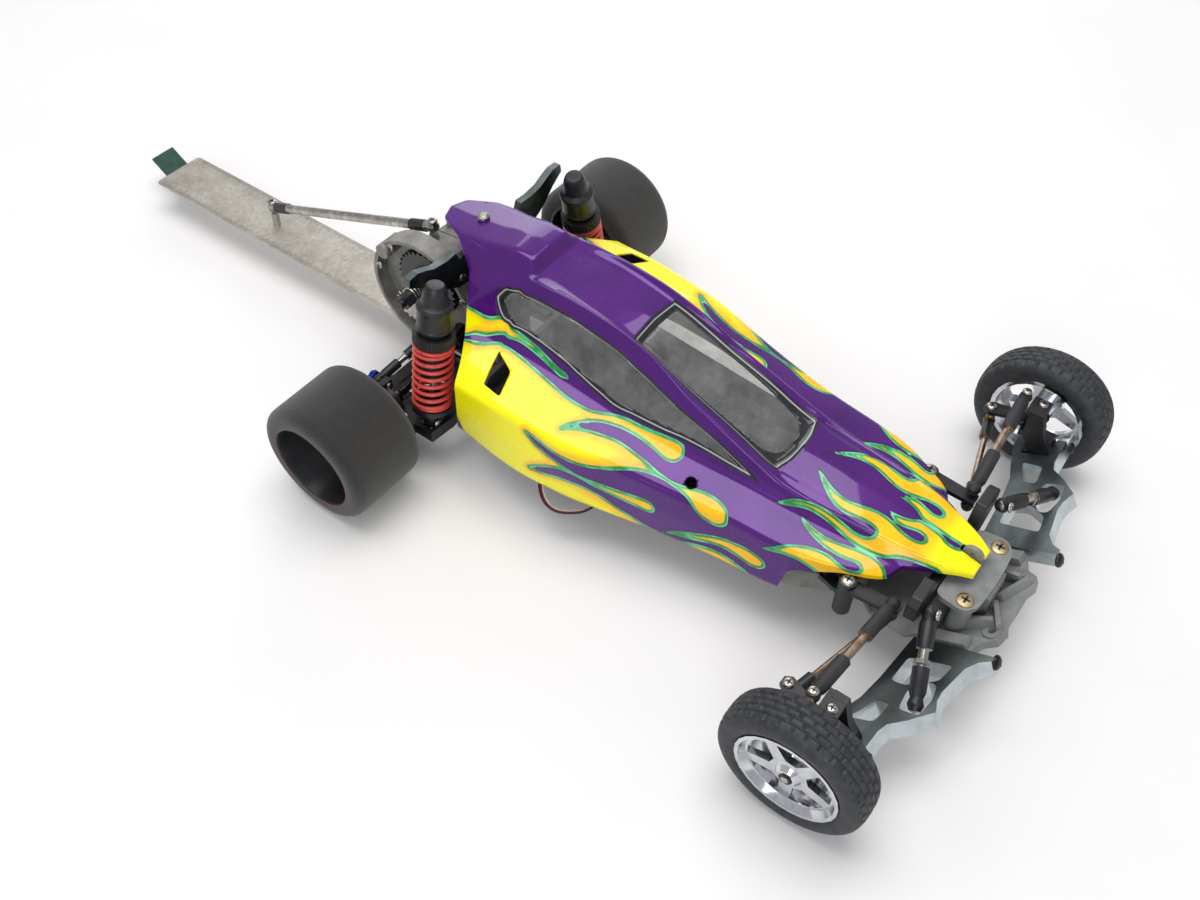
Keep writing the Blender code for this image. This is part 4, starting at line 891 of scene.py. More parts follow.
def paint_fields(flat):
    """Distances that the paint and the cuts follow, one number for each point of the flat layout."""
    mirrored = np.column_stack((flat[:, 0], np.abs(flat[:, 1])))
    flames = distance_to(mirrored, [smooth_closed(outline) for outline in FLAMES])
    eye = distance_to(flat, [smooth_closed(NOSE_EYE)])
    screen = distance_to(flat, [smooth_closed(WINDSCREEN)])
    window = distance_to(mirrored, [smooth_closed(SIDE_WINDOW)])
    glass = np.minimum(distance_to(flat, [smooth_closed(SCREEN_GLASS)]),
                       distance_to(mirrored, [smooth_closed(SIDE_GLASS)]))
    vent = distance_to(mirrored, [np.array(VENT)])
    port = np.hypot(flat[:, 0] - PORT[0], flat[:, 1] - PORT[1]) - PORT[2]
    slot = distance_to(flat, [np.array([(-23.0, -2.2), (-8.9, -2.2), (-8.9, 2.2), (-23.0, 2.2)])])
    post = np.hypot(flat[:, 0] - 279.8, flat[:, 1]) - 2.2
    groove = distance_to(mirrored, [smooth_closed(HOOD_GROOVE)])
    flames = np.maximum(flames, -eye)
    return {"flame_gap": flames, "border": np.minimum(screen, window), "glass": glass, "screen": screen,
            "window": window, "cut": np.minimum.reduce([vent, port, slot, post]), "groove": groove,
            "lemon": lemon_share(flat, flames)}


def lemon_share(flat, flames):
    """How lemon rather than orange a flame is: at the nose, in wide flames and on the rear of the pods."""
    y = flat[:, 0]
    nose = 1.0 - smooth_step(y, -6.0, 6.0)
    wide = smooth_step(-flames, 3.0, 9.0)
    rear = smooth_step(y, 150.0, 200.0) * smooth_step(-flames, 1.8, 6.0)
    return np.clip(nose + 0.75 * wide * smooth_step(y, 90.0, 150.0) + rear, 0.0, 1.0)


def sunk(points, normals, fields):
    """Press the windows' recesses and the hood's long grooves into the skin."""
    depth = 2.2 * smooth_step(-fields["screen"], 0.6, 3.6)
    depth += 0.9 * smooth_step(-fields["window"], 0.5, 2.0)
    depth += 0.9 * smooth_step(-fields["groove"], -0.2, 1.1)
    return points - normals * depth[:, None]


def split_at_zero(bm, layer):
    """Cut a mesh along the line where a stored number is zero."""
    for vert in bm.verts:
        if abs(vert[layer]) < 0.06:
            vert[layer] = 0.0
    crossing = [edge for edge in bm.edges if edge.verts[0][layer] * edge.verts[1][layer] < 0]
    for edge in crossing:
        first, second = edge.verts
        share = first[layer] / (first[layer] - second[layer])
        _, vert = bmesh.utils.edge_split(edge, first, share)
        vert[layer] = 0.0
    on_line_verts = [vert for vert in bm.verts if vert[layer] == 0.0]
    bmesh.ops.connect_verts(bm, verts=on_line_verts)


def faces_inside(bm, layer):
    return [face for face in bm.faces if sum(vert[layer] for vert in face.verts) < 0.0]


PAINT_LAYERS = ("flame_gap", "border", "glass", "cut", "lemon")


def make_skin():
    """The shell's outer skin with its paint distances stored, cut along the glass and the openings."""
    rows, flat = shell_grid()
    columns = len(rows[0])
    bm = bmesh.new()
    for name in PAINT_LAYERS:
        bm.verts.layers.float.new(name)
    layers = {name: bm.verts.layers.float[name] for name in PAINT_LAYERS}
    verts = [bm.verts.new(point) for row in rows for point in row]
    for i in range(len(rows) - 1):
        for j in range(columns - 1):
            a = i * columns + j
            bm.faces.new((verts[a], verts[a + columns], verts[a + columns + 1], verts[a + 1]))
    bm.normal_update()
    fields = paint_fields(flat.reshape(-1, 2))
    points = np.array([vert.co for vert in verts])
    normals = np.array([vert.normal for vert in verts])
    if normals[columns * 60 + columns // 2][2] < 0:
        bmesh.ops.reverse_faces(bm, faces=bm.faces)
        normals = -normals
    for vert, place in zip(verts, sunk(points, normals, fields)):
        vert.co = place
    for name in PAINT_LAYERS:
        for vert, value in zip(verts, fields[name]):
            vert[layers[name]] = value
    split_at_zero(bm, bm.verts.layers.float["glass"])
    split_at_zero(bm, bm.verts.layers.float["cut"])
    return bm


def with_wall(obj, thickness):
    wall = obj.modifiers.new("wall", "SOLIDIFY")
    wall.thickness = thickness * MM
    wall.offset = -1.0
    wall.use_even_offset = False
    wall.use_rim = True
    return obj


def make_body_shell():
    """Painted shell with its openings, and the smoky panes set in behind its window frames."""
    skin = make_skin()
    panes = skin.copy()
    glass, cut = skin.verts.layers.float["glass"], skin.verts.layers.float["cut"]
    openings = set(faces_inside(skin, glass)) | set(faces_inside(skin, cut))
    bmesh.ops.delete(skin, geom=list(openings), context="FACES")
    shell = add_shaped("body_shell_painted", skin, "body", [body_paint(), shell_inside()],
                       ("body_shell",), smooth=60)
    with_wall(shell, SHELL_WALL)
    shell.modifiers["wall"].material_offset = 1
    glass = panes.verts.layers.float["glass"]
    clear = set(faces_inside(panes, glass))
    bmesh.ops.delete(panes, geom=[face for face in panes.faces if face not in clear], context="FACES")
    pane = add_shaped("window_panes", panes, "body", smoky_pane(), smooth=60)
    with_wall(pane, 0.6)


def body_paint():
    """Violet metallic paint with outlined flames, black window borders and a clear coat."""
    n = Nodes("body_paint", srgb("531a80"))
    flame = n.stored("flame_gap")
    flakes = n.add("ShaderNodeTexVoronoi")
    flakes.inputs["Scale"].default_value = 1.0 / (0.28 * MM)
    n.join(n.place, flakes.inputs["Vector"])
    sparkle = n.ramp(flakes.outputs["Color"], 0.2, 0.9)
    cloud = n.ramp(n.noise(30.0, 2.0), 0.3, 0.7)
    violet = n.mix(cloud, srgb("430a67"), srgb("521076"))
    violet = n.mix(n.maths("MULTIPLY", sparkle, 0.1), violet, srgb("7f43ad"))
    hue = n.maths("ADD", n.stored("lemon"), n.ramp(n.noise(13.0, 3.0), 0.35, 0.7, -0.05, 0.35))
    fill = n.mix(n.ramp(hue, 0.0, 1.0), srgb("ffb806"), srgb("fbf200"))
    patches = n.ramp(n.noise(11.0, 2.0), 0.42, 0.62)
    green = n.mix(patches, srgb("15863a"), srgb("3fb873"))
    painted = n.mix(n.ramp(flame, -2.3, -1.25, smooth=True), fill, green)
    pale = n.maths("MULTIPLY", n.ramp(flame, -0.75, -0.45), n.ramp(n.noise(8.0, 2.0), 0.45, 0.6, 0.15, 0.85))
    painted = n.mix(pale, painted, srgb("86dcab"))
    violet = n.mix(n.ramp(flame, 0.0, 1.3, 0.55, 0.0), violet, srgb("270a46"))
    painted = n.mix(n.ramp(flame, -0.12, 0.12), painted, violet)
    border = n.stored("border")
    frame_tone = n.mix(n.ramp(n.noise(5.0, 4.0), 0.35, 0.7), srgb("17181a"), srgb("26282a"))
    silver = n.maths("MULTIPLY", n.ramp(border, -1.95, -1.7), n.ramp(border, -1.4, -1.15, 1.0, 0.0))
    frame_tone = n.mix(silver, frame_tone, srgb("a9aaac"))
    painted = n.mix(n.ramp(border, -0.15, 0.15), frame_tone, painted)
    n.colour(painted)
    is_violet = n.maths("MULTIPLY", n.ramp(flame, -0.12, 0.12), n.ramp(border, -0.15, 0.15))
    n.join(n.maths("MULTIPLY", is_violet, 0.3), n.shader.inputs["Metallic"])
    n.rough(n.ramp(n.noise(2.0, 4.0), 0.3, 0.7, 0.24, 0.34))
    n.set(Specular_IOR_Level=0.15, Coat_Weight=0.8, Coat_Roughness=0.035, Coat_IOR=1.45)
    return n.material


def shell_inside():
    return moulded("shell_inside", srgb("2a2033"), srgb("1c1624"), 0.6, dust=srgb("4c4650"))


def smoky_pane():
    """Tinted sheet, dusty inside, that the battery shows through."""
    n = Nodes("smoky_pane", srgb("7c7d7b"))
    dust = n.ramp(n.noise(22.0, 7.0, 0.72), 0.38, 0.72)
    specks = n.ramp(n.noise(1.1, 5.0, 0.8), 0.5, 0.75, 0.0, 0.35)
    n.colour(n.mix(specks, n.mix(dust, srgb("6f706e"), srgb("8d8d8a")), srgb("b0afab")))
    n.join(n.ramp(dust, 0.0, 1.0, 0.3, 0.58), n.shader.inputs["Alpha"])
    n.set(Roughness=0.12, Coat_Weight=1.0, Coat_Roughness=0.03)
    return n.material


# ---------------------------------------------------------------- small parts

def body_of(node):
    return frame["nodes"][node]["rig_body"]


def plated(node, mats, width=0.45, flat_from=0.8, segments=2):
    """A softened plate whose broad faces and cut edges differ: the first material is for the broad faces."""
    obj = softened(node, body_of(node), mats, width, segments)
    for face in obj.data.polygons:
        face.material_index = 0 if abs(face.normal.z) > flat_from else 1
    obj.modifiers["edges"].material = 1
    return obj


def linked(node, start, end, rod_reach, mats):
    """A softened turnbuckle: the first material is for its plastic ends, the second for its bare rod."""
    obj = softened(node, body_of(node), mats, 0.35)
    first, last = at(*start), at(*end)
    along = (last - first).normalized()
    for face in obj.data.polygons:
        off = face.center - first
        radius = (off - along * off.dot(along)).length
        face.material_index = 1 if radius < rod_reach * MM else 0
    return obj


def screw_mesh(place, direction, radius, height):
    """Domed head with a cross recess, as two pieces of mesh: the head, then a dark cross that paints the
    recess's shade.
    """
    along, across, third = axes_of(direction)
    head = turned(rounded_profile([(-0.4, 0), (-0.4, radius), (height * 0.5, radius),
                                   (height, radius * 0.55), (height, 0)], radius * 0.3), place, direction, 24)
    top = Vector(place) + along * (height - 0.25)
    # The dark cross is painted shade: it stands for the shadowed recess, which is not cut into the head.
    cross = bmesh.new()
    for first, second in ((across, third), (third, across)):
        corners = [first * a * radius * 0.52 + second * b * radius * 0.13
                   for a, b in ((-1, -1), (1, -1), (1, 1), (-1, 1))]
        low = [cross.verts.new(top + c) for c in corners]
        high = [cross.verts.new(top + c + along * 0.3) for c in corners]
        cross.faces.new(low)
        cross.faces.new(high)
        for i in range(4):
            j = (i + 1) % 4
            cross.faces.new((low[i], low[j], high[j], high[i]))
    return [with_material(head, 0), with_material(cross, 1)]


def add_screws(name, body, places, metal_name="steel"):
    """Screws of one body: each is (place, direction, radius, height)."""
    parts = []
    for place, direction, radius, height in places:
        parts += screw_mesh(place, direction, radius, height)
    # The second material, deep black, paints the shade in each screw's cross recess.
    add_piece(name, join_meshes(parts), body, [MAT[metal_name], MAT["deep_black"]])


def add_turned(name, profile, origin, direction, body, mat, replaces=(), count=40, radius=0.5, closed=False):
    shape = profile if closed else rounded_profile(profile, radius)
    return add_piece(name, turned(shape, origin, direction, count, closed), body, mat, replaces, smooth=40)


def ball_joint(name, place, body, radius=2.5):
    """A brass-coloured ball, inside a link's eye."""
    profile = [(radius * math.sin(a), radius * math.cos(a)) for a in
               (math.radians(d) for d in range(-90, 91, 15))]
    add_piece(name, turned([(u, max(v, 0.0)) for u, v in profile], place, (0, 0, 1), 20), body, MAT["brass"])


# ---------------------------------------------------------------- wheels

TREAD_ROWS, TREAD_BLOCKS = 5, 34
TREAD_DEPTH = 0.8


def make_front_tyre(name, side):
    """Low-profile tyre with five rows of tread blocks, offset from row to row."""
    inner_x = FRONT_FACE_X - FRONT_TYRE_W
    steps_round = TREAD_BLOCKS * 6
    crown = [(0.055, RIM_R + 0.2), (0.015, 27.2), (0.0, 29.2), (0.005, 31.2), (0.04, 33.2), (0.085, 34.4)]
    for i in range(TREAD_ROWS * 4 + 1):
        t = i / (TREAD_ROWS * 4)
        crown.append((0.12 + 0.76 * t, FRONT_R - 1.3 * abs(2 * t - 1) ** 3))
    crown += [(1 - u, r) for u, r in reversed(crown[:6])]
    bm = bmesh.new()
    rings = []
    for k, (along, radius) in enumerate(crown):
        ring = []
        tread = 6 <= k < len(crown) - 6
        row, across = divmod(k - 6, 4)
        for i in range(steps_round):
            step = (i + (3 if row % 2 else 0)) % 6
            sunk_here = tread and (step == 0 or across == 0 and 0 < k - 6 < TREAD_ROWS * 4)
            angle = 2 * math.pi * i / steps_round
            reach = radius - (TREAD_DEPTH if sunk_here else 0.0)
            ring.append(bm.verts.new((side * (inner_x + FRONT_TYRE_W * along), reach * math.cos(angle),
                                      FRONT_R + reach * math.sin(angle))))
        rings.append(ring)
    for first, second in zip(rings, rings[1:] + rings[:1]):
        for i in range(steps_round):
            j = (i + 1) % steps_round
            bm.faces.new((first[i], first[j], second[j], second[i]))
    tyre = add_piece("front_tread_" + name, bm, "front_wheel_" + name, MAT["tyre"],
                     ("front_tyre_" + name,), smooth=28)


def make_front_rim(name, side):
    """Chrome five-spoke rim with its axle nut and washer."""
    rim = softened("front_wheel_" + name, "front_wheel_" + name, MAT["chrome"], 0.35, 2)
    face = FRONT_FACE_X
    nut = prism(circle(0, FRONT_R, 3.3, 6), side * (face - 3.0), side * (face - 0.3), "X")
    washer = turned([(face - 3.6, 2.6), (face - 3.6, 4.9), (face - 2.9, 4.9), (face - 2.9, 2.6)],
                    (0, 0, FRONT_R), (side, 0, 0), 24, closed=True)
    add_piece("front_nut_" + name, join_meshes([nut, washer]), "front_wheel_" + name, MAT["dark_steel"],
              bevel=0.25)
    tip = [(face - 0.5, 0), (face - 0.5, 2.0), (face - 0.05, 1.7), (face - 0.05, 0)]
    add_turned("front_axle_tip_" + name, tip, (0, 0, FRONT_R), (side, 0, 0), "front_wheel_" + name,
               MAT["steel"], count=16, radius=0.2)


def make_rear_tyre(name, side):
    """Wide foam tyre with softly rounded shoulders."""
    inner_x, outer_x = REAR_FACE_X - REAR_TYRE_W, REAR_FACE_X
    corner = 6.0
    profile = [(inner_x + 0.3, RIM_R + 0.2), (inner_x, 27.5)]
    for centre, start in ((inner_x + corner, 180), (outer_x - corner, 90)):
        for k in range(7):
            a = math.radians(start - 15 * k)
            profile.append((centre + corner * math.cos(a), REAR_R - corner + corner * math.sin(a)))
        if start == 180:
            profile += [(inner_x + REAR_TYRE_W * t, REAR_R) for t in (0.25, 0.5, 0.75)]
    profile += [(outer_x, 27.5), (outer_x - 0.3, RIM_R + 0.2)]
    bm = turned(profile, (0, WHEELBASE, REAR_R), (side, 0, 0), 96, closed=True)
    tyre = add_piece("rear_foam_" + name, bm, "rear_wheel_" + name, MAT["foam"], ("rear_tyre_" + name,),
                     smooth=50)


def make_rear_rim(name, side):
    """Deep black dish rim with ribs round its hub, a thin line at its lip and the wheel nut."""
    inner_x = REAR_FACE_X - REAR_TYRE_W
    hub = inner_x + 21
    profile = [(inner_x + 0.6, RIM_R), (inner_x + 0.6, RIM_R - 2.0), (inner_x + 18, RIM_R - 2.2),
               (inner_x + 18, 7.0), (inner_x + 14, 7.0), (inner_x + 14, 2.8), (hub + 3, 2.8),
               (hub + 3, 7.0), (hub, 9.0), (hub, RIM_R - 3.6), (hub + 1.5, RIM_R - 2.6),
               (inner_x + 46.4, RIM_R - 1.6), (inner_x + 47.3, RIM_R - 1.2), (inner_x + 47.3, RIM_R)]
    dish = turned(profile, (0, WHEELBASE, REAR_R), (side, 0, 0), 72, closed=True)
    rim = add_piece("rear_dish_" + name, dish, "rear_wheel_" + name, MAT["black"], ("rear_wheel_" + name,),
                    smooth=40)
    ribs = []
    for i in range(10):
        angle = 2 * math.pi * i / 10
        out = Vector((0, math.cos(angle), math.sin(angle)))
        wide = Vector((0, -math.sin(angle), math.cos(angle))) * 0.9
        centre = Vector((0, WHEELBASE, REAR_R))
        bm = bmesh.new()
        rings = []
        for radius, rise in ((8.0, 4.2), (15.0, 2.4), (RIM_R - 3.4, 6.0)):
            place = centre + out * radius
            rings.append([bm.verts.new(place + wide * w + Vector((side * x, 0, 0)))
                          for w, x in ((-1, hub - 0.5), (1, hub - 0.5), (1, hub + rise), (-1, hub + rise))])
        for first, second in zip(rings, rings[1:]):
            for k in range(4):
                j = (k + 1) % 4
                bm.faces.new((first[k], first[j], second[j], second[k]))
        bm.faces.new(rings[0])
        bm.faces.new(rings[-1])
        ribs.append(bm)
    add_piece("rear_ribs_" + name, join_meshes(ribs), "rear_wheel_" + name, MAT["black"], bevel=0.25)
    line = [(inner_x + 47.0, RIM_R - 0.5), (inner_x + 47.0, RIM_R + 0.15), (inner_x + 47.75, RIM_R + 0.15),
            (inner_x + 47.75, RIM_R - 0.5)]
    add_turned("rear_rim_line_" + name, line, (0, WHEELBASE, REAR_R), (side, 0, 0), "rear_wheel_" + name,
               MAT["rim_line"], count=72, closed=True)
    nut = prism(circle(WHEELBASE, REAR_R, 4.2, 6), side * (hub + 3.2), side * (hub + 7.5), "X")
    add_piece("rear_nut_" + name, nut, "rear_wheel_" + name, MAT["steel"], bevel=0.3)


# ---------------------------------------------------------------- rear shocks

SHOCK_TOP, SHOCK_FOOT = (57.0, 263.0, 109.6), (72.0, 263.0, 29.5)
COIL_TURNS, COIL_R, WIRE_R = 9.5, 9.95, 1.15


def make_shock(name, side):
    """Cap, body, threaded collar, coil spring, cup, rod and lower eye."""
    top, foot = on_side(SHOCK_TOP, side), on_side(SHOCK_FOOT, side)
    axis = foot - top
    length = axis.length
    upper, lower = "shock_body_" + name, "shock_rod_" + name
    cap = [(-5.5, 0), (-5.5, 4.6), (-3.5, 5.6), (-1, 6.4), (4.6, 7.2), (5.6, 8.4), (6.4, 9.5), (8.4, 9.7),
           (9.0, 9.2), (18.4, 9.2), (19.2, 9.7), (20.2, 9.5), (20.6, 8.0), (49, 7.6), (49, 0)]
    shock = add_turned("shock_cap_" + name, cap, top, axis, upper, MAT["black"], ("rear_shock_body_" + name,),
                       count=48, radius=0.4)
    add_piece("shock_collar_" + name, knurled_ring(top, axis, 23.0, 28.8, 10.6, 11.2, 8.2, 36), upper,
              MAT["deep_black"])
    threads = []
    for i in range(14):
        threads += [(29.5 + i * 1.2, 7.65), (30.1 + i * 1.2, 8.15)]
    thread_profile = [(29.0, 7.0)] + threads + [(46.5, 7.0)]
    add_piece("shock_thread_" + name, turned(thread_profile, top, axis, 36, closed=True), upper,
              MAT["black"], smooth=20)
    rod_profile = [(46, 0), (46, 1.7), (length - 13.2, 1.7), (length - 13.2, 0)]
    add_turned("shock_shaft_" + name, rod_profile, top, axis, lower, MAT["steel"],
               ("rear_shock_rod_" + name,), count=20, radius=0.1)
    cup = [(length - 13.4, 0), (length - 13.4, 8.2), (length - 12.6, 8.6), (length - 12.6, 11.0),
           (length - 9.6, 11.2), (length - 8.6, 9.6), (length - 8.0, 4.2), (length - 4.2, 3.4),
           (length - 3.2, 4.0), (length + 2.6, 4.2), (length + 3.4, 2.8), (length + 3.6, 0)]
    add_turned("shock_cup_" + name, cup, top, axis, lower, MAT["black"], count=40, radius=0.4)
    make_coil(name, top, axis, 29.6 + WIRE_R, length - 13.0 - WIRE_R, upper, lower)
    eye = foot + Vector((0, -4.6, 0))
    add_screws("shock_foot_screw_" + name, "rear_arm_" + name, [(eye, (0, -1, 0), 2.9, 1.6)])
    place = top + Vector((0, -4.8, 0.0))
    add_screws("shock_top_screw_" + name, "chassis", [(place, (0, -1, 0), 2.7, 1.6)], "dark_steel")


def knurled_ring(origin, axis, low, high, root_r, tip_r, bore_r, teeth):
    """A ring whose rim is cut into many small teeth."""
    along, across, third = axes_of(axis)
    bm = bmesh.new()
    steps = teeth * 4
    rings = []
    for step, inner in ((low, True), (low, False), (high, False), (high, True)):
        ring = []
        for i in range(steps):
            radius = bore_r if inner else (tip_r if i % 4 in (1, 2) else root_r)
            angle = 2 * math.pi * i / steps
            ring.append(bm.verts.new(Vector(origin) + along * step
                                     + (across * math.cos(angle) + third * math.sin(angle)) * radius))
        rings.append(ring)
    for first, second in zip(rings, rings[1:] + rings[:1]):
        for i in range(steps):
            j = (i + 1) % steps
            bm.faces.new((first[i], first[j], second[j], second[i]))
    return bm


def make_coil(name, top, axis, low, high, upper, lower):
    """Round-wire coil with closed end turns, which stretches between the shock's body and its rod."""
    along, across, third = axes_of(axis)
    count = int(COIL_TURNS * 28)
    points = []
    for i in range(count + 1):
        t = i / count
        lift = smooth_ends(t, 0.9 / COIL_TURNS)
        angle = 2 * math.pi * COIL_TURNS * t
        points.append(top + along * (low + (high - low) * lift)
                      + (across * math.cos(angle) + third * math.sin(angle)) * COIL_R)
    section = [(WIRE_R * math.cos(2 * math.pi * i / 10), WIRE_R * math.sin(2 * math.pi * i / 10))
               for i in range(10)]
    bm = swept(points, section, up=tuple(along))
    bmesh.ops.recalc_face_normals(bm, faces=bm.faces)
    for vert in bm.verts:
        vert.co = at(*vert.co)
    mesh = bpy.data.meshes.new("coil_" + name)
    bm.to_mesh(mesh)
    bm.free()
    mesh.materials.append(MAT["red"])
    mesh.shade_smooth()
    coil = link_object("spring_coil_" + name, mesh)
    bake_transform(coil, upper, lower, start=at(*(top + along * low)), end=at(*(top + along * high)))
    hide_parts("rear_spring_" + name)


def smooth_ends(t, flat):
    """Run from 0 to 1, almost level over the first and last share of the way."""
    rise = 0.12
    if t < flat:
        return t / flat * flat * rise
    if t > 1 - flat:
        return 1 - (1 - t) / flat * flat * rise
    low, high = flat * rise, 1 - flat * rise
    return low + (high - low) * (t - flat) / (1 - 2 * flat)


# ---------------------------------------------------------------- carried-over pieces

LINK_ENDS = {
    "front_lock_link": ((38.7, -13.2, 53.4), (75.0, -28.0, 37.6), 3.0, "black", "steel"),
    "front_camber_link": ((42.5, 2.8, 50.5), (109.5, 7.2, 57.6), 2.8, "soft_black", "old_steel"),
    "steering_link": ((40.5, 2.8, 39.6), (104.0, 19.4, 36.0), 2.2, "black", "old_steel"),
    "rear_camber_link": ((40.0, 295.5, 46.0), (75.5, 296.8, 42.5), 2.2, "black", "steel"),
}
SOFTENED = {
    "chassis_tub": ("warm_grey", 0.8), "front_top_plate": ("grey", 0.7), "front_bulkhead": ("grey", 0.5),
    "front_shock_tower": ("black", 0.7), "gear_housing": ("warm_grey", 0.6),
    "gearbox_half_left": ("warm_grey", 0.7), "gearbox_half_right": ("warm_grey", 0.7),
    "rear_body_post": ("grey", 0.3), "drive_motor": ("dark_steel", 0.5), "pinion_gear": ("steel", 0.15),
    "spur_gear": ("black", 0.12), "steering_drag_link": ("black", 0.5), "battery_strap": ("black", 0.5),
    "speed_controller": ("black", 0.4), "receiver_box": ("black", 0.6), "steering_servo": ("black", 0.5),
    "body_screw": ("steel", 0.3), "wheelie_strip": ("green", 0.15),
    "front_caster_block": ("black", 0.5), "front_knuckle": ("black", 0.4), "steering_crank": ("black", 0.4),
    "rear_arm": ("black", 0.6), "rear_hub_carrier": ("black", 0.4), "rear_half_shaft": ("dark_steel", 0.3),
}


def dress_carried_pieces():
    """Give each CAD piece that keeps its shape rounded edges and its real finish."""
    nodes = frame["nodes"]
    for stem, (finish, width) in SOFTENED.items():
        names = [stem] if stem in nodes else [f"{stem}_{name}" for name, _ in SIDES]
        for node in names:
            softened(node, body_of(node), MAT[finish], width)
    for name, side in SIDES:
        plated("front_arm_" + name, [MAT["arm_top"], MAT["arm_cut"]], 0.5)
        for stem, (start, end, reach, ends, rod) in LINK_ENDS.items():
            linked(f"{stem}_{name}", on_side(start, side), on_side(end, side), reach, [MAT[ends], MAT[rod]])
    linked("wheelie_turnbuckle", (0.0, 464.0, 35.0), (-7.0, 311.5, 96.8), 3.1, [MAT["black"], MAT["steel"]])
    tower = softened("rear_shock_tower", "chassis", [MAT["tower"], MAT["arm_top"]], 0.4)
    for face in tower.data.polygons:
        face.material_index = 0 if abs(face.normal.y) > 0.8 else 1
    softened("wheelie_bar", "chassis", MAT["ruler"], 0.25)
    paint_node("battery_pack", MAT["sleeve"])


# ---------------------------------------------------------------- fasteners and trim

def hex_nut(place, direction, radius, height, bore=1.4):
    along, across, third = axes_of(direction)
    bm = bmesh.new()
    rings = []
    for reach, step in ((bore, 0.0), (radius, 0.0), (radius, height), (bore, height)):
        rings.append([bm.verts.new(Vector(place) + along * step
                                   + (across * math.cos(math.pi * i / 3) + third * math.sin(math.pi * i / 3))
                                   * reach) for i in range(6)])
    for first, second in zip(rings, rings[1:] + rings[:1]):
        for i in range(6):
            j = (i + 1) % 6
            bm.faces.new((first[i], first[j], second[j], second[i]))
    return bm


def add_front_fasteners():
    """Screws, pin heads, nuts and brass balls of the front end."""
    rake = (0, -0.899, 0.438)
    for name, side in SIDES:
        plate = [((side * 18.8, -22.5, 47.9), (0, 0, 1), 4.3, 0.9)]
        add_screws("plate_screw_" + name, "chassis", plate, "screw_tan")
        pins = [((side * 35.4, -47.2, 40.1), rake, 3.7, 2.2), ((side * 110.4, -23.6, 37.2), rake, 3.0, 1.6)]
        add_screws("hinge_pin_heads_" + name, "chassis", pins, "dark_steel")
        small = [((side * 75.1, -36.0, 38.8), rake, 2.6, 1.2),
                 ((side * 38.7, -16.9, 54.4), (0, -0.95, 0.3), 2.7, 1.3),
                 ((side * 110.0, -2.6, 57.3), (0, 0, 1), 2.7, 1.4)]
        add_screws("front_small_screws_" + name, "chassis", small)
        add_screws("crank_screw_" + name, "crank_" + name, [((side * 42.0, 26.0, 48.5), (0, 0, 1), 3.7, 1.6)])
        add_screws("steering_ball_screw_" + name, "knuckle_" + name,
                   [((side * 104.0, 20.6, 46.0), (0, 0, 1), 2.9, 1.4)])
        ball_joint("steering_ball_" + name, (side * 104.0, 19.4, 39.2), "knuckle_" + name, 2.3)
        add_screws("camber_ball_screw_" + name, "chassis",
                   [((side * 109.5, 7.2, 61.2), (0, 0, 1), 2.5, 1.2)])
        ends = on_side((75.0, -28.0, 37.6), side) - on_side((38.7, -13.2, 53.4), side)
        nut = hex_nut(on_side((57.4, -20.8, 45.3), side), ends, 3.9, 2.4, 2.3)
        add_piece("lock_link_nut_" + name, nut, "chassis", MAT["steel"], bevel=0.3)


def add_rear_fasteners():
    """Blue nuts and screws of the rear hubs, tower screws and the gear housing's screws."""
    for name, side in SIDES:
        nut = hex_nut((side * 74.9, 299.6, 42.0), (0, 1, 0), 3.6, 3.2, 1.3)
        add_piece("hub_nut_" + name, nut, "carrier_" + name, MAT["blue_nut"], bevel=0.4)
        hub = [((side * 76.0, 288.6, 42.6), (0, -1, 0), 2.6, 1.4)]
        add_screws("hub_screw_" + name, "carrier_" + name, hub)
        tower = [((side * x, 276.2, z), (0, -1, 0), 2.3, 1.2) for x, z in ((12.0, 91.0), (24.0, 91.0))]
        add_screws("tower_screws_" + name, "chassis", tower)
    housing = [((-25.2, y, z), (-1, 0, 0), 2.3, 1.2) for y, z in ((276.4, 74.0), (288.6, 88.6), (327.8, 86.0),
                                                                 (339.4, 68.0), (276.6, 44.0))]
    add_screws("housing_screws", "chassis", housing)
    add_screws("bar_stud_screw", "chassis", [((0.0, 464.0, 39.0), (0, 0, 1), 2.8, 1.2),
                                             ((-7.0, 311.5, 100.6), (0, 0, 1), 2.8, 1.2)])


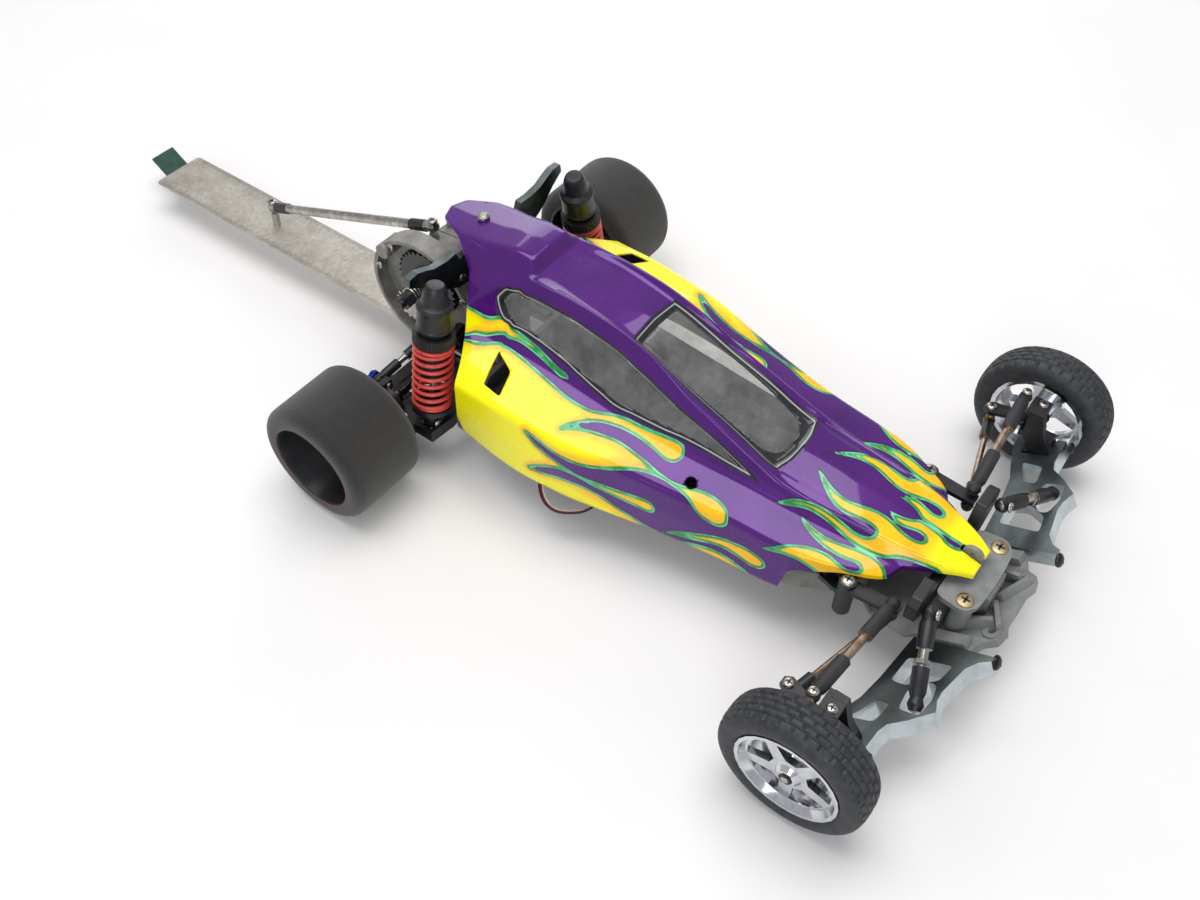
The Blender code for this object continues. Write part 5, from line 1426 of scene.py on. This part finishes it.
def make_slipper_spring():
    """Small bright spring between the slipper plate and its nut."""
    count, turns, reach = 150, 5.5, 5.1
    points = [Vector((-27.6 - 9.8 * i / count, 304.0 + reach * math.cos(2 * math.pi * turns * i / count),
                      71.5 + reach * math.sin(2 * math.pi * turns * i / count))) for i in range(count + 1)]
    section = [(0.62 * math.cos(2 * math.pi * i / 8), 0.62 * math.sin(2 * math.pi * i / 8)) for i in range(8)]
    add_piece("slipper_spring", swept(points, section, up=(1, 0, 0)), "spur", MAT["steel"])


def mark_ruler():
    """Graduation ticks along both edges of the steel ruler, the fifth and tenth ones longer."""
    ticks = []
    half_width, first_y, last_y = 18.2, 268.0, 558.0
    for side in (-1, 1):
        for i in range(int(last_y - first_y) + 1):
            long = 6.0 if i % 10 == 0 else 4.4 if i % 5 == 0 else 2.8
            inner = side * (half_width - 0.5 - long)
            outer = side * (half_width - 0.5)
            y = first_y + i
            outline = [(inner, y - 0.09), (outer, y - 0.09), (outer, y + 0.09), (inner, y + 0.09)]
            ticks.append(prism(outline, RULER_Z - 0.02, RULER_Z + 0.03))
    add_piece("ruler_ticks", join_meshes(ticks), "chassis", MAT["dark_steel"])


def make_battery_plug():
    """Ribbed tan plug that lies on the front of the battery, with its pair of wires."""
    plug = prism(fillet(box_outline(-6.5, 112, 6.5, 132), 1.5), 47.4, 53.0)
    ribs = [prism(box_outline(-7.2, 114.5 + 3.4 * i, 7.2, 116.2 + 3.4 * i), 47.6, 54.0) for i in range(5)]
    add_piece("battery_plug", join_meshes([plug] + ribs), "chassis", MAT["tan"], bevel=0.3)
    for name, side in SIDES:
        route = [(side * 3.4, 132.0, 50.2), (side * 4.6, 139.0, 50.6), (side * 8.0, 145.0, 49.8),
                 (side * 13.0, 148.5, 48.9), (side * 18.0, 149.5, 48.6)]
        section = [(1.25 * math.cos(2 * math.pi * i / 10), 1.25 * math.sin(2 * math.pi * i / 10))
                   for i in range(10)]
        add_piece("battery_wire_" + name, swept(smooth_route(route, 6), section), "chassis",
                  MAT["red_wire"] if side < 0 else MAT["deep_black"])


# ---------------------------------------------------------------- the whole car


make_servo_lead()
make_body_shell()
for side_name, sign in SIDES:
    make_front_tyre(side_name, sign)
    make_front_rim(side_name, sign)
    make_rear_tyre(side_name, sign)
    make_rear_rim(side_name, sign)
    make_shock(side_name, sign)
dress_carried_pieces()
add_front_fasteners()
add_rear_fasteners()
make_slipper_spring()
mark_ruler()
make_battery_plug()
